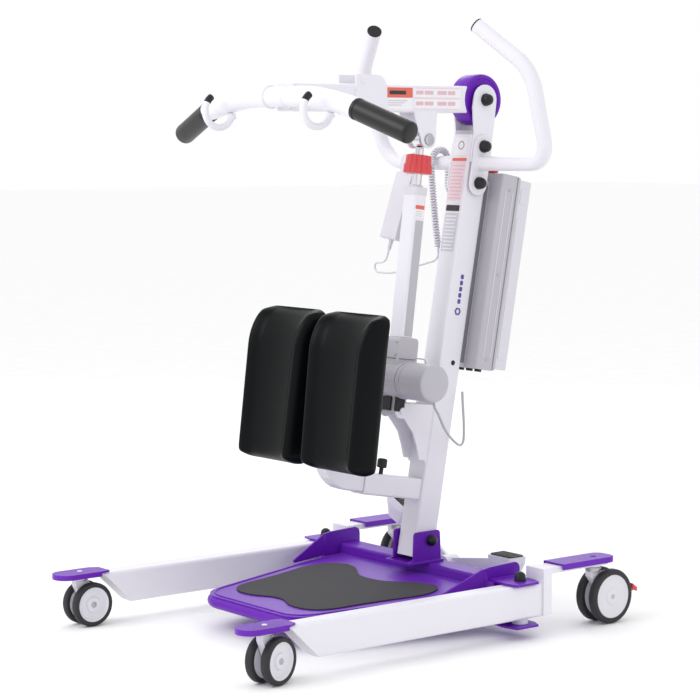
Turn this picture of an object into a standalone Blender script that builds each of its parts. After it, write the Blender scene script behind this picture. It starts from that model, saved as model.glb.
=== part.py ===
"""Sit to stand lift: a wheeled frame with spreading legs, a foot tray, knee pads and a powered boom.

Metres, +Z up.  The patient stands on the -Y side, +X is the lift's right hand side and the floor is
Z = 0.  The origin is on the floor, under the middle of the lift.
"""
import math

import bmesh
import bpy
from mathutils import Matrix, Vector

# ---- driving dimensions -------------------------------------------------------------------------
GAP = 0.0003                       # clearance between neighbouring parts

LEAN = math.radians(10.2)          # the mast leans towards the rear
MAST_FOOT_Y = 0.1785               # where the mast's axis meets the floor
MAST_SIZE = 0.060                  # across the lift
MAST_DEPTH = 0.064                 # front to rear
MAST_LOW = 0.1335                  # along the mast, from the floor
MAST_HIGH = 1.131
TUBE_WALL = 0.003

BOOM_PIVOT = Vector((0.0, 0.384, 1.192))
BOOM_WIDTH = 0.060
BOOM_HEIGHT = 0.062
BOOM_FRONT_Y = -0.170
BOOM_REAR_Y = 0.370
HEAD_PLATE = 0.005

LOWER_PIN = Vector((0.0, 0.137, 0.480))
UPPER_PIN = Vector((0.0, 0.216, 1.099))

BEAM_HALF = 0.285
BEAM_Y = (0.204, 0.264)
BEAM_Z = (0.060, 0.120)

TRAY_SLOPE = 0.0414
TRAY_LEVEL = 0.0893                # height of the tray's top at Y = 0
TRAY_PLATE = 0.003
TRAY_TUBE = 0.025

LEG_X = 0.351
LEG_WIDTH = 0.048
LEG_Z = (0.043, 0.120)
LEG_REAR_Y = 0.2557
LEG_PIVOT_Y = 0.211
PLATE_SHEET = 0.0045
REAR_PLATE_TOP = 0.1555

CASTER_X = 0.354
CASTER_GAP = 0.022                 # between a caster's two wheels
CASTER_WEB = 0.018
FRONT_SWIVEL_Y = -0.493
FRONT_TRAIL = 0.020
FRONT_RADIUS = 0.050
FRONT_SWIVEL = {"right": math.radians(15.0), "left": 0.0}
REAR_SWIVEL_Y = 0.434
REAR_TRAIL = 0.036
REAR_RADIUS = 0.0625
BRAKE_PIVOT = (0.038, 0.110)       # behind the rear swivel, and height
BRAKE_HUB = 0.0090

PEDAL_PIVOT_X = -0.021
PEDAL_PIVOT_Z = 0.095
PEDAL_Y = 0.325
PEDAL_ARM = 0.204
PEDAL_TRAVEL = math.radians(25.0)

KNEE_ARM_U = 0.290                 # along the mast
KNEE_ARM_SIZE = 0.050
KNEE_ARM_FRONT_V = -0.200
KNEE_POST_Y = -0.042
KNEE_PAD_LEAN = math.radians(7.0)
KNEE_BAR_SIZE = 0.040
KNEE_PAD_X = 0.1185
KNEE_PAD_WIDTH = 0.200
KNEE_PAD_HEIGHT = 0.352
KNEE_PAD_DEPTH = 0.072
KNEE_PAD_BACK = -0.0252            # from the post's axis

HANDLE_TUBE = 0.034
SPREADER_TUBE = 0.045
GRIP_DIAMETER = 0.048
CORD_DIAMETER = 0.006
HANDSET_LEAD_DIAMETER = 0.005

HANDLE_PLATE = 0.006
DRUM_RADIUS = 0.0595
DRUM_HALF = 0.0245
SPREADER_Y = -0.188
RAIL_U = (0.586, 1.046)
CURLY_END = Vector((-0.0843, 0.424, 0.945))
CURLY_DIAMETER = 0.017
HANDSET_X = -0.200
HANDSET_TOP = Vector((HANDSET_X, 0.3490, 1.0180))
HANDSET_LENGTH = 0.165
HANDSET_TILT = math.radians(-15.0)
HANDSET_ROLL = math.radians(5.0)
RELIEF_LENGTH = 0.026
HANDLE_TUBE_CENTRE = (0.3561, 1.0453)

SIDES = {"right": 1.0, "left": -1.0}

# ---- removing what the file opened with ---------------------------------------------------------
for old_object in list(bpy.data.objects):
    bpy.data.objects.remove(old_object)


# ---- materials ----------------------------------------------------------------------------------
def material(name, colour, roughness, metallic=0.0):
    """Make a Principled material with a plain colour."""
    made = bpy.data.materials.new(name)
    made.use_nodes = True
    shader = made.node_tree.nodes["Principled BSDF"]
    shader.inputs["Base Color"].default_value = (*colour, 1.0)
    shader.inputs["Roughness"].default_value = roughness
    shader.inputs["Metallic"].default_value = metallic
    return made


WHITE = material("white_powder_coat", (0.86, 0.85, 0.89), 0.35)
PURPLE = material("purple_powder_coat", (0.19, 0.04, 0.55), 0.32)
BLACK_PAD = material("black_polyurethane", (0.009, 0.010, 0.011), 0.42)
BLACK_PLASTIC = material("black_plastic", (0.03, 0.03, 0.035), 0.45)
GREY_MAT = material("grey_rubber_mat", (0.07, 0.07, 0.075), 0.75)
GREY_PLASTIC = material("light_grey_plastic", (0.55, 0.54, 0.60), 0.45)
PALE_PLASTIC = material("pale_plastic", (0.80, 0.79, 0.84), 0.40)
RED = material("red_plastic", (0.68, 0.07, 0.07), 0.40)
STEEL = material("bright_steel", (0.75, 0.75, 0.77), 0.18, 1.0)
TYRE = material("tyre_rubber", (0.04, 0.04, 0.045), 0.65)


# ---- frames -------------------------------------------------------------------------------------
def frame(name, location, rotation=None):
    """Make an empty that stands on a joint's axis or at a sub-assembly's origin."""
    empty = bpy.data.objects.new(name, None)
    turned = rotation if rotation else Matrix.Identity(4)
    empty.matrix_basis = Matrix.Translation(location) @ turned
    bpy.context.scene.collection.objects.link(empty)
    return empty


def finish(shape, name, made_of, parent=None, world=True):
    """Name a shape, give it its material, smooth it and hang it on a frame.

    A shape that was modelled in world coordinates is brought into its frame's own coordinates.
    """
    shape.name = name
    shape.data.name = name
    shape.data.materials.clear()
    shape.data.materials.append(made_of)
    if parent:
        if world:
            shape.data.transform(parent.matrix_basis.inverted())
        shape.parent = parent
    if shape.type == "MESH":
        shape.data.shade_smooth()
        shape.data.set_sharp_from_angle(angle=math.radians(35.0))
    return shape


# ---- shapes -------------------------------------------------------------------------------------
def from_bmesh(mesh_builder):
    """Turn a closed bmesh into a linked object with its faces pointing out."""
    bmesh.ops.recalc_face_normals(mesh_builder, faces=mesh_builder.faces)
    mesh = bpy.data.meshes.new("shape")
    mesh_builder.to_mesh(mesh)
    mesh_builder.free()
    shape = bpy.data.objects.new("shape", mesh)
    bpy.context.scene.collection.objects.link(shape)
    return shape


def skin(rings, closed=False):
    """Join rings of equally many points into one closed skin, capped unless it closes on itself."""
    builder = bmesh.new()
    loops = [[builder.verts.new(point) for point in ring] for ring in rings]
    count = len(loops[0])
    spans = list(zip(loops, loops[1:]))
    if closed:
        spans.append((loops[-1], loops[0]))
    for first, second in spans:
        for index in range(count):
            following = (index + 1) % count
            builder.faces.new((first[index], first[following], second[following], second[index]))
    if not closed:
        builder.faces.new(loops[0])
        builder.faces.new(loops[-1])
    return from_bmesh(builder)


def arc(centre, radius, start, end, steps):
    """Points on an arc from start to end degrees, both included."""
    points = []
    for index in range(steps + 1):
        angle = math.radians(start + (end - start) * index / steps)
        points.append((centre[0] + radius * math.cos(angle), centre[1] + radius * math.sin(angle)))
    return points


def rounded_box_outline(low, high, radius, steps=3):
    """A rectangle from low to high with rounded corners."""
    (left, bottom), (right, top) = low, high
    return (
        arc((right - radius, bottom + radius), radius, -90, 0, steps)
        + arc((right - radius, top - radius), radius, 0, 90, steps)
        + arc((left + radius, top - radius), radius, 90, 180, steps)
        + arc((left + radius, bottom + radius), radius, 180, 270, steps)
    )


def prism(outline, start, end, axis="X"):
    """Extrude an outline: (Y, Z) points along X, (X, Z) points along Y or (X, Y) points along Z."""
    place = {
        "X": lambda a, b, depth: (depth, a, b),
        "Y": lambda a, b, depth: (a, depth, b),
        "Z": lambda a, b, depth: (a, b, depth),
    }[axis]
    return skin([[place(a, b, depth) for a, b in outline] for depth in (start, end)])


def box(low, high):
    """A plain box between two corners."""
    outline = [(low[0], low[1]), (high[0], low[1]), (high[0], high[1]), (low[0], high[1])]
    return prism(outline, low[2], high[2], "Z")


def turned(profile, centre, axis="X", segments=24):
    """Turn a profile of (distance along the axis, radius) points round an axis through centre."""
    along = {"X": Vector((1, 0, 0)), "Y": Vector((0, 1, 0)), "Z": Vector((0, 0, 1))}[axis]
    side = {"X": Vector((0, 1, 0)), "Y": Vector((0, 0, 1)), "Z": Vector((1, 0, 0))}[axis]
    other = along.cross(side)
    rings = []
    for distance, radius in profile:
        ring = []
        for index in range(segments):
            angle = 2.0 * math.pi * index / segments
            ring.append(
                Vector(centre) + along * distance
                + side * (radius * math.cos(angle)) + other * (radius * math.sin(angle))
            )
        rings.append(ring)
    return skin(rings)


def cylinder(centre, radius, start, end, axis="X", segments=24, edge=0.0):
    """A cylinder from start to end along an axis through centre, with an optional edge chamfer."""
    profile = [(start, radius), (end, radius)]
    if edge:
        profile = [
            (start, radius - edge),
            (start + edge, radius),
            (end - edge, radius),
            (end, radius - edge),
        ]
    return turned(profile, centre, axis, segments)


def turned_ring(profile, centre, axis="X", segments=24):
    """Turn a closed profile that stays off the axis: a wheel or a ring with a bore."""
    along = {"X": Vector((1, 0, 0)), "Y": Vector((0, 1, 0)), "Z": Vector((0, 0, 1))}[axis]
    side = {"X": Vector((0, 1, 0)), "Y": Vector((0, 0, 1)), "Z": Vector((1, 0, 0))}[axis]
    other = along.cross(side)
    rings = []
    for index in range(segments):
        angle = 2.0 * math.pi * index / segments
        outward = side * math.cos(angle) + other * math.sin(angle)
        rings.append([Vector(centre) + along * distance + outward * radius for distance, radius in profile])
    return skin(rings, closed=True)


def fillet_path(corners, radii, steps=6):
    """Round the inner corners of a polyline with arcs of the given radii."""
    corners = [Vector(corner) for corner in corners]
    path = [corners[0]]
    for before, corner, after, radius in zip(corners, corners[1:], corners[2:], radii):
        inward = (before - corner).normalized()
        outward = (after - corner).normalized()
        half = inward.angle(outward) / 2.0
        reach = radius / math.tan(half)
        middle = corner + (inward + outward).normalized() * (radius / math.sin(half))
        start = corner + inward * reach - middle
        end = corner + outward * reach - middle
        swept = start.angle(end)
        for index in range(steps + 1):
            share = index / steps
            first = math.sin((1.0 - share) * swept) / math.sin(swept)
            second = math.sin(share * swept) / math.sin(swept)
            path.append(middle + start * first + end * second)
    path.append(corners[-1])
    return path


def sweep(path, outline, up=(0, 0, 1), hole=None):
    """Sweep a (sideways, up) outline along a path; with a hole outline the tube is hollow and open."""
    path = [Vector(point) for point in path]
    outer, inner = [], []
    for index, point in enumerate(path):
        before = path[max(index - 1, 0)]
        after = path[min(index + 1, len(path) - 1)]
        forward = ((point - before).normalized() + (after - point).normalized()).normalized()
        sideways = forward.cross(Vector(up)).normalized()
        upward = sideways.cross(forward)
        outer.append([point + sideways * a + upward * b for a, b in outline])
        if hole:
            inner.append([point + sideways * a + upward * b for a, b in hole])
    if not hole:
        return skin(outer)
    return skin(outer + inner[::-1], closed=True)


def circle(diameter, steps=16):
    """A round outline for a sweep."""
    return arc((0.0, 0.0), diameter / 2.0, 0, 360.0 - 360.0 / steps, steps - 1)


def square(size, radius, steps=3, height=None):
    """A rounded square or rectangular outline about its centre."""
    tall = height if height else size
    return rounded_box_outline((-size / 2, -tall / 2), (size / 2, tall / 2), radius, steps)


def smooth_path(points, steps=4):
    """A smooth curve through the points (Catmull-Rom)."""
    points = [Vector(point) for point in points]
    held = [points[0] * 2 - points[1]] + points + [points[-1] * 2 - points[-2]]
    path = []
    for p0, p1, p2, p3 in zip(held, held[1:], held[2:], held[3:]):
        for index in range(steps):
            t = index / steps
            path.append(
                0.5 * (2 * p1 + (p2 - p0) * t + (2 * p0 - 5 * p1 + 4 * p2 - p3) * t ** 2
                       + (3 * p1 - p0 - 3 * p2 + p3) * t ** 3)
            )
    path.append(points[-1])
    return path


def cord(route, diameter, bevel_resolution=2, steps=3):
    """A free cord: a bevelled curve with filled caps on a smooth path through the route."""
    curve = bpy.data.curves.new("cord", "CURVE")
    curve.dimensions = "3D"
    curve.bevel_depth = diameter / 2.0
    curve.bevel_resolution = bevel_resolution
    curve.use_fill_caps = True
    path = smooth_path(route, steps)
    spline = curve.splines.new("POLY")
    spline.points.add(len(path) - 1)
    for point, place in zip(spline.points, path):
        point.co = (*place, 1.0)
    shape = bpy.data.objects.new("cord", curve)
    bpy.context.scene.collection.objects.link(shape)
    return shape


def combine(target, tools, operation):
    """Apply an exact Boolean with each tool in turn, and remove the tools."""
    for tool in tools:
        modifier = target.modifiers.new("Boolean", "BOOLEAN")
        modifier.operation = operation
        modifier.solver = "EXACT"
        modifier.object = tool
    graph = bpy.context.evaluated_depsgraph_get()
    mesh = bpy.data.meshes.new_from_object(target.evaluated_get(graph))
    target.modifiers.clear()
    target.data = mesh
    for tool in tools:
        bpy.data.objects.remove(tool)
    return target


def join(target, *others):
    """Weld shapes into one body."""
    return combine(target, others, "UNION")


def cut(target, *cutters):
    """Take shapes away from a body."""
    return combine(target, cutters, "DIFFERENCE")


def keep(target, *masks):
    """Keep what a body shares with the masks."""
    return combine(target, masks, "INTERSECT")


# ---- frames of the sub-assemblies ---------------------------------------------------------------
LEANING = Matrix.Rotation(-LEAN, 4, "X")
mast_frame = frame("mast_frame", (0.0, MAST_FOOT_Y, 0.0), LEANING)
boom_frame = frame("boom_frame", BOOM_PIVOT)
knee_frame = frame("knee_frame", (0.0, KNEE_POST_Y, 0.540), Matrix.Rotation(-KNEE_PAD_LEAN, 4, "X"))
ACTUATOR_TILT = math.atan2(UPPER_PIN.y - LOWER_PIN.y, UPPER_PIN.z - LOWER_PIN.z)
actuator_frame = frame("actuator_frame", LOWER_PIN, Matrix.Rotation(-ACTUATOR_TILT, 4, "X"))
ACTUATOR_LENGTH = (UPPER_PIN - LOWER_PIN).length
TRAY_REAR_Y = BEAM_Y[0] - 0.0015
tray_frame = frame(
    "tray_frame",
    (0.0, TRAY_REAR_Y, TRAY_LEVEL + TRAY_SLOPE * TRAY_REAR_Y),
    Matrix.Rotation(math.atan(TRAY_SLOPE), 4, "X"),
)
pedal_frame = frame("pedal_frame", (PEDAL_PIVOT_X, PEDAL_Y, PEDAL_PIVOT_Z))


# ---- base ---------------------------------------------------------------------------------------
def make_cross_beam():
    """The beam between the leg brackets, with the spreading pedal's boss and shaft welded on."""
    middle_y = sum(BEAM_Y) / 2
    middle_z = sum(BEAM_Z) / 2
    side = BEAM_Y[1] - BEAM_Y[0]
    beam = sweep(
        [(-BEAM_HALF, middle_y, middle_z), (BEAM_HALF, middle_y, middle_z)],
        square(side, 0.006),
        hole=square(side - 2 * TUBE_WALL, 0.003),
    )
    pivot = (PEDAL_PIVOT_X, 0.0, PEDAL_PIVOT_Z)
    post = cylinder(pivot, 0.023, BEAM_Y[1] - 0.002, BEAM_Y[1] + 0.006, "Y", 24)
    shaft = cylinder(pivot, 0.008, BEAM_Y[1] + 0.002, 0.352, "Y", 20, 0.001)
    finish(join(beam, post, shaft), "cross_beam", PURPLE)


def tray_half_width(y):
    """Half the tray's width: full behind the brackets, then tapering towards the front."""
    if y >= 0.165:
        return 0.285
    if y >= 0.053:
        return 0.267 + (0.285 - 0.267) * (y - 0.053) / (0.165 - 0.053)
    return 0.267 - (0.267 - 0.195) * (0.053 - y) / (0.053 + 0.190)


def make_footplate():
    """The tray's bent tube rim and the sheet that lies on it."""
    inset = TRAY_TUBE / 2
    front_y = -0.290
    stations = [TRAY_REAR_Y, 0.165, 0.053]
    corners = [(tray_half_width(y) - inset, y - TRAY_REAR_Y) for y in stations]
    corners[0] = (corners[0][0], 0.0)
    corners.append((tray_half_width(-0.235) - inset + 0.004, front_y + inset - TRAY_REAR_Y))
    level = -TRAY_PLATE - GAP - inset
    outline = [(x, y, level) for x, y in corners]
    outline += [(-x, y, level) for x, y in reversed(corners)]
    path = fillet_path(outline, [0.10, 0.25, 0.075, 0.075, 0.25, 0.10], 4)
    rim = sweep(path, circle(TRAY_TUBE, 10))
    finish(rim, "footplate_rim", PURPLE, tray_frame, world=False)

    lap = 0.009
    sheet_corners = [(x + inset - lap, y, 0.0) for x, y in corners[:-1]]
    sheet_corners.append((corners[-1][0] + inset - lap, corners[-1][1] - inset + lap, 0.0))
    sheet_outline = sheet_corners + [(-x, y, 0.0) for x, y, _ in reversed(sheet_corners)]
    edge = fillet_path(sheet_outline, [0.10, 0.25, 0.070, 0.070, 0.25, 0.10], 5)
    sheet = prism([(point.x, point.y) for point in edge], -TRAY_PLATE, 0.0, "Z")
    finish(sheet, "footplate", PURPLE, tray_frame, world=False)


def make_footplate_mat():
    """The rubber mat, with two round lobes for the feet."""
    thickness = 0.003
    half = [
        (0.000, 0.066), (0.045, 0.072), (0.085, 0.098), (0.120, 0.118), (0.160, 0.124),
        (0.195, 0.105), (0.212, 0.060), (0.203, 0.000), (0.188, -0.060), (0.178, -0.120),
        (0.170, -0.170), (0.150, -0.203), (0.113, -0.220), (0.066, -0.217), (0.030, -0.200),
        (0.000, -0.195),
    ]
    points = [(x, y - TRAY_REAR_Y, 0.0) for x, y in half]
    whole = points + [(-x, y, z) for x, y, z in reversed(points[1:-1])]
    edge = smooth_path(whole + [whole[0]], 2)[:-1]
    mat = prism([(point.x, point.y) for point in edge], GAP, GAP + thickness, "Z")
    finish(mat, "footplate_mat", GREY_MAT, tray_frame, world=False)


def make_side_bracket(side, hand):
    """A gusset that runs down to the tray, the leg's fork block and its two tongues."""
    sheet = 0.005
    plane = BEAM_HALF + 0.0028
    path = [(hand * plane, 0.268, 0.125), (hand * plane, 0.160, 0.125), (hand * 0.2645, 0.036, 0.125)]
    wall = sweep(path, square(sheet, 0.001, 1, height=0.080))
    profile = (
        [(0.160, 0.0966), (0.160, 0.088), (0.266, 0.088)]
        + arc((0.250, 0.139), 0.016, 0, 80, 4)
        + [(0.175, 0.1515)]
        + arc((0.160, 0.133), 0.016, 85, 125, 3)
        + arc((0.052, 0.0966), 0.0045, 130, 250, 3)
    )
    gusset = keep(wall, prism(profile, hand * 0.24, hand * 0.31, "X"))
    block = box(
        *sorted_corner(hand * 0.2895, hand * 0.311, 0.167, 0.245, 0.0265, 0.1220),
    )
    plan = [
        (hand * 0.290, 0.172), (hand * 0.352, 0.165), (hand * 0.386, 0.172),
        (hand * 0.386, 0.235), (hand * 0.360, 0.247), (hand * 0.290, 0.247),
    ]
    upper = prism(plan, 0.1215, 0.1265, "Z")
    lower = prism(plan, 0.0260, 0.0310, "Z")
    bracket = join(gusset, block, upper, lower)
    bore = cylinder((hand * LEG_X, LEG_PIVOT_Y, 0.0), 0.0085, 0.0, 0.2, "Z", 20)
    finish(cut(bracket, bore), "side_bracket_" + side, PURPLE)


def sorted_corner(x0, x1, y0, y1, z0, z1):
    """The lowest and the highest corner of a box given in any order."""
    low = (min(x0, x1), min(y0, y1), min(z0, z1))
    high = (max(x0, x1), max(y0, y1), max(z0, z1))
    return low, high


def make_leg_pivot(side, hand):
    """The leg's hinge bolt with its domed head."""
    centre = (hand * LEG_X, LEG_PIVOT_Y, 0.0)
    head = 0.1265 + GAP
    profile = [
        (0.0180, 0.0078), (0.0180, 0.0080), (head, 0.0080), (head, 0.0135), (head + 0.011, 0.0135),
        (head + 0.017, 0.0112), (head + 0.021, 0.0060),
    ]
    finish(turned(profile, centre, "Z", 20), "leg_pivot_bolt_" + side, BLACK_PLASTIC)


def make_mast_socket():
    """The shoe on the beam that the mast stands in."""
    base = box((-0.046, 0.150, BEAM_Z[1] + GAP), (0.046, 0.252, BEAM_Z[1] + 0.0053))
    parts = []
    for hand in SIDES.values():
        profile = (
            [(0.152, 0.1250), (0.166, 0.1300), (0.168, 0.185)]
            + arc((0.176, 0.186), 0.008, 170, 90, 3)
            + arc((0.239, 0.186), 0.008, 90, 0, 3)
            + [(0.250, 0.1220)]
        )
        parts.append(prism(profile, hand * 0.0333, hand * 0.0383, "X"))
    socket = join(base, *parts)
    bore = cylinder((0.0, 0.218, 0.172), 0.0065, -0.06, 0.06, "X", 16)
    finish(cut(socket, bore), "mast_socket", PURPLE)


def make_mast_bolt():
    """The bolt through the socket and the mast, with a domed nut on each end."""
    bolt = domed_bolt((0.0, 0.218, 0.172), 0.0383 + GAP, 0.0060, 0.0135, 0.016)
    finish(bolt, "mast_bolt", BLACK_PLASTIC)


def domed_bolt(centre, half_grip, shank, radius, height):
    """A bolt along X with the same domed cover on both ends, from half_grip outwards."""
    half = [
        (half_grip, shank), (half_grip, radius), (half_grip + height * 0.45, radius),
        (half_grip + height * 0.82, radius * 0.74), (half_grip + height, radius * 0.36),
    ]
    profile = [(-distance, size) for distance, size in reversed(half)] + half
    return turned(profile, centre, "X", 16)


# ---- mast and head ------------------------------------------------------------------------------
def make_mast():
    """The square mast tube, with the bore for its foot bolt and its head bolts."""
    tube = sweep(
        [(0.0, 0.0, MAST_LOW), (0.0, 0.0, MAST_HIGH)],
        square(MAST_SIZE, 0.005, 2, height=MAST_DEPTH),
        up=(0, 1, 0),
        hole=square(MAST_SIZE - 2 * TUBE_WALL, 0.002, 2, height=MAST_DEPTH - 2 * TUBE_WALL),
    )
    tube.data.transform(mast_frame.matrix_basis)
    bores = [cylinder((0.0, 0.218, 0.172), 0.0065, -0.06, 0.06, "X", 16)]
    for place in (HEAD_BOLT_UPPER, HEAD_BOLT_LOWER):
        bores.append(cylinder(place, 0.0065, -0.06, 0.06, "X", 16))
    finish(cut(tube, *bores), "mast", WHITE, mast_frame)


def on_mast(v, u, x=0.0):
    """World point at v behind the mast's axis and u along it."""
    return mast_frame.matrix_basis @ Vector((x, v, u))


HEAD_BOLT_UPPER = on_mast(0.0, 1.101)
HEAD_BOLT_LOWER = on_mast(0.0, 1.0145)


def make_head_plate(side, hand):
    """The plate that carries the boom's pivot: straight on the mast, with a round top lobe."""
    inner = MAST_SIZE / 2 + GAP
    pivot_local = mast_frame.matrix_basis.inverted() @ BOOM_PIVOT
    lobe = 0.0350
    profile = (
        [(-0.029, 1.060), (0.029, 1.060), (0.029, 1.150)]
        + arc((pivot_local.y, pivot_local.z), lobe, 0, 180, 12)
        + [(pivot_local.y - lobe, 1.185), (-0.029, 1.130)]
    )
    plate = prism(profile, hand * inner, hand * (inner + HEAD_PLATE), "X")
    plate.data.transform(mast_frame.matrix_basis)
    bores = [
        cylinder(BOOM_PIVOT, 0.0065, -0.06, 0.06, "X", 16),
        cylinder(HEAD_BOLT_UPPER, 0.0065, -0.06, 0.06, "X", 16),
    ]
    finish(cut(plate, *bores), "head_plate_" + side, WHITE, mast_frame)


def make_head_bolts():
    """Bolts through the head plates: the boom's pivot and the two that hold the plates."""
    reach = MAST_SIZE / 2 + GAP + HEAD_PLATE + GAP
    wide_reach = reach + HANDLE_PLATE + GAP
    for name, place, start in (
        ("boom_pivot_bolt", BOOM_PIVOT, reach),
        ("head_bolt_upper", HEAD_BOLT_UPPER, wide_reach),
        ("head_bolt_lower", HEAD_BOLT_LOWER, wide_reach),
    ):
        finish(domed_bolt(place, start, 0.0060, 0.0145, 0.020), name, BLACK_PLASTIC, mast_frame)


# ---- push handles -------------------------------------------------------------------------------


def make_push_handle(side, hand):
    """A bent tube handle welded to the oblong plate that the head bolts clamp."""
    inner = MAST_SIZE / 2 + GAP + HEAD_PLATE + GAP
    face = inner + HANDLE_PLATE
    path = fillet_path(
        [
            (hand * (face - 0.002), 0.364, 1.044),
            (hand * 0.2820, 0.352, 1.046),
            (hand * 0.2980, 0.283, 1.253),
            (hand * 0.1780, 0.224, 1.355),
        ],
        [0.062, 0.100],
        6,
    )
    tube = sweep(path, circle(HANDLE_TUBE, 14), up=(0, 1, 0.2))
    plate_outline = rounded_box_outline((-0.026, 0.986), (0.026, 1.128), 0.0255, 4)
    plate = prism(plate_outline, hand * inner, hand * face, "X")
    plate.data.transform(mast_frame.matrix_basis)
    spacer_start = MAST_SIZE / 2 + GAP
    spacer = cylinder(HEAD_BOLT_LOWER, 0.014, hand * spacer_start, hand * (inner + 0.002), "X", 16)
    handle = join(plate, tube, spacer)
    bores = [
        cylinder(HEAD_BOLT_UPPER, 0.0065, hand * 0.02, hand * 0.06, "X", 16),
        cylinder(HEAD_BOLT_LOWER, 0.0065, hand * 0.02, hand * 0.06, "X", 16),
    ]
    finish(cut(handle, *bores), "push_handle_" + side, WHITE, mast_frame)


# ---- boom ---------------------------------------------------------------------------------------


def make_boom():
    """The boom tube, coped round the pivot drum, with its cheek plates and actuator lugs."""
    middle_z = BOOM_PIVOT.z
    tube = sweep(
        [(0.0, BOOM_REAR_Y, middle_z), (0.0, BOOM_FRONT_Y, middle_z)],
        square(BOOM_WIDTH, 0.006, height=BOOM_HEIGHT),
        hole=square(BOOM_WIDTH - 2 * TUBE_WALL, 0.003, height=BOOM_HEIGHT - 2 * TUBE_WALL),
    )
    half = BOOM_WIDTH / 2
    low_z = middle_z - BOOM_HEIGHT / 2
    welded = []
    for hand in SIDES.values():
        lug = (
            [(0.172, low_z + 0.004), (0.196, UPPER_PIN.z)]
            + arc((UPPER_PIN.y, UPPER_PIN.z), 0.020, 180, 360, 8)
            + [(0.240, low_z + 0.004)]
        )
        welded.append(prism(lug, hand * 0.0250, hand * 0.0300, "X"))
        pin = cylinder(UPPER_PIN, 0.0105, hand * 0.0125, hand * 0.036, "X", 18)
        welded.append(pin)
        cheek = (
            [(0.000, 1.155), (0.089, 1.155), (0.089, 1.214)]
            + arc((0.059, 1.214), 0.030, 0, 90, 5)
            + [(0.000, 1.244)]
        )
        welded.append(prism(cheek, hand * (half - 0.001), hand * (half + 0.0035), "X"))
    return tube, welded


def cut_boom(tube, welded):
    """Cope the boom's rear end round the pivot drum and bore its front end for the spreader."""
    cutters = [
        cylinder(BOOM_PIVOT, DRUM_RADIUS + GAP, -0.05, 0.05, "X", 32),
        cylinder((0.0, SPREADER_Y, BOOM_PIVOT.z), SPREADER_TUBE / 2 + 0.0006, -0.05, 0.05, "X", 24),
    ]
    return cut(join(tube, *welded), *cutters)


def make_boom_assembly():
    """Boom, pivot drum, spreader bar, hand grips and sling hooks."""
    tube, welded = make_boom()
    finish(cut_boom(tube, welded), "boom", WHITE, boom_frame)

    rim = 0.003
    drum = turned_ring(
        [
            (-DRUM_HALF + rim, DRUM_RADIUS), (DRUM_HALF - rim, DRUM_RADIUS),
            (DRUM_HALF, DRUM_RADIUS - rim), (DRUM_HALF, 0.0065),
            (-DRUM_HALF, 0.0065), (-DRUM_HALF, DRUM_RADIUS - rim),
        ],
        BOOM_PIVOT, "X", 32,
    )
    finish(drum, "boom_drum", PURPLE, boom_frame)

    grip_root = Vector((0.260, SPREADER_Y, 1.166))
    grip_tip = Vector((0.413, -0.159, 1.111))
    path = []
    for hand in (-1, 1):
        arm = smooth_path(
            [
                (hand * 0.000, SPREADER_Y, BOOM_PIVOT.z), (hand * 0.060, SPREADER_Y, BOOM_PIVOT.z),
                (hand * 0.120, SPREADER_Y, 1.190), (hand * 0.190, SPREADER_Y, 1.180),
                (hand * grip_root.x, grip_root.y, grip_root.z),
            ],
            1,
        )
        path += arm[::-1] if hand < 0 else arm[1:]
    lead_in = (grip_tip - grip_root).normalized() * 0.006
    tip = grip_root + lead_in
    path = [Vector((-tip.x, tip.y, tip.z))] + path + [tip]
    bar = sweep(path, circle(SPREADER_TUBE, 16), up=(0, 1, 0))
    finish(bar, "spreader_bar", WHITE, boom_frame)

    for side, hand in SIDES.items():
        start = tip + lead_in.normalized() * GAP
        start.x *= hand
        end = Vector((hand * grip_tip.x, grip_tip.y, grip_tip.z))
        along = (end - start).normalized()
        length = (end - start).length
        radius = GRIP_DIAMETER / 2
        stations = [
            (0.0, radius - 0.003), (0.004, radius), (0.012, radius - 0.0015), (0.022, radius - 0.0010),
            (length * 0.6, radius), (length - 0.012, radius - 0.0005), (length - 0.004, radius - 0.003),
            (length, radius - 0.008),
        ]
        sideways = along.cross(Vector((0, 1, 0))).normalized()
        upward = sideways.cross(along)
        rings = []
        for distance, size in stations:
            rings.append([
                start + along * distance + sideways * (size * a) + upward * (size * b)
                for a, b in arc((0.0, 0.0), 1.0, 0, 340, 17)
            ])
        finish(skin(rings), "grip_" + side, BLACK_PLASTIC, boom_frame)

        hook_x = hand * 0.180
        centre = (-0.223, 1.163)
        bend = [(hook_x, y, z) for y, z in arc(centre, 0.037, 0, -238, 12)]
        hook = sweep(bend, circle(0.016, 10), up=(1, 0, 0))
        keep_out = turned(
            [(-0.1, SPREADER_TUBE / 2 + 0.0015), (0.1, SPREADER_TUBE / 2 + 0.0015)],
            (hook_x, SPREADER_Y, 1.1815), "X", 24,
        )
        finish(cut(hook, keep_out), "hook_" + side, WHITE, boom_frame)


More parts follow.
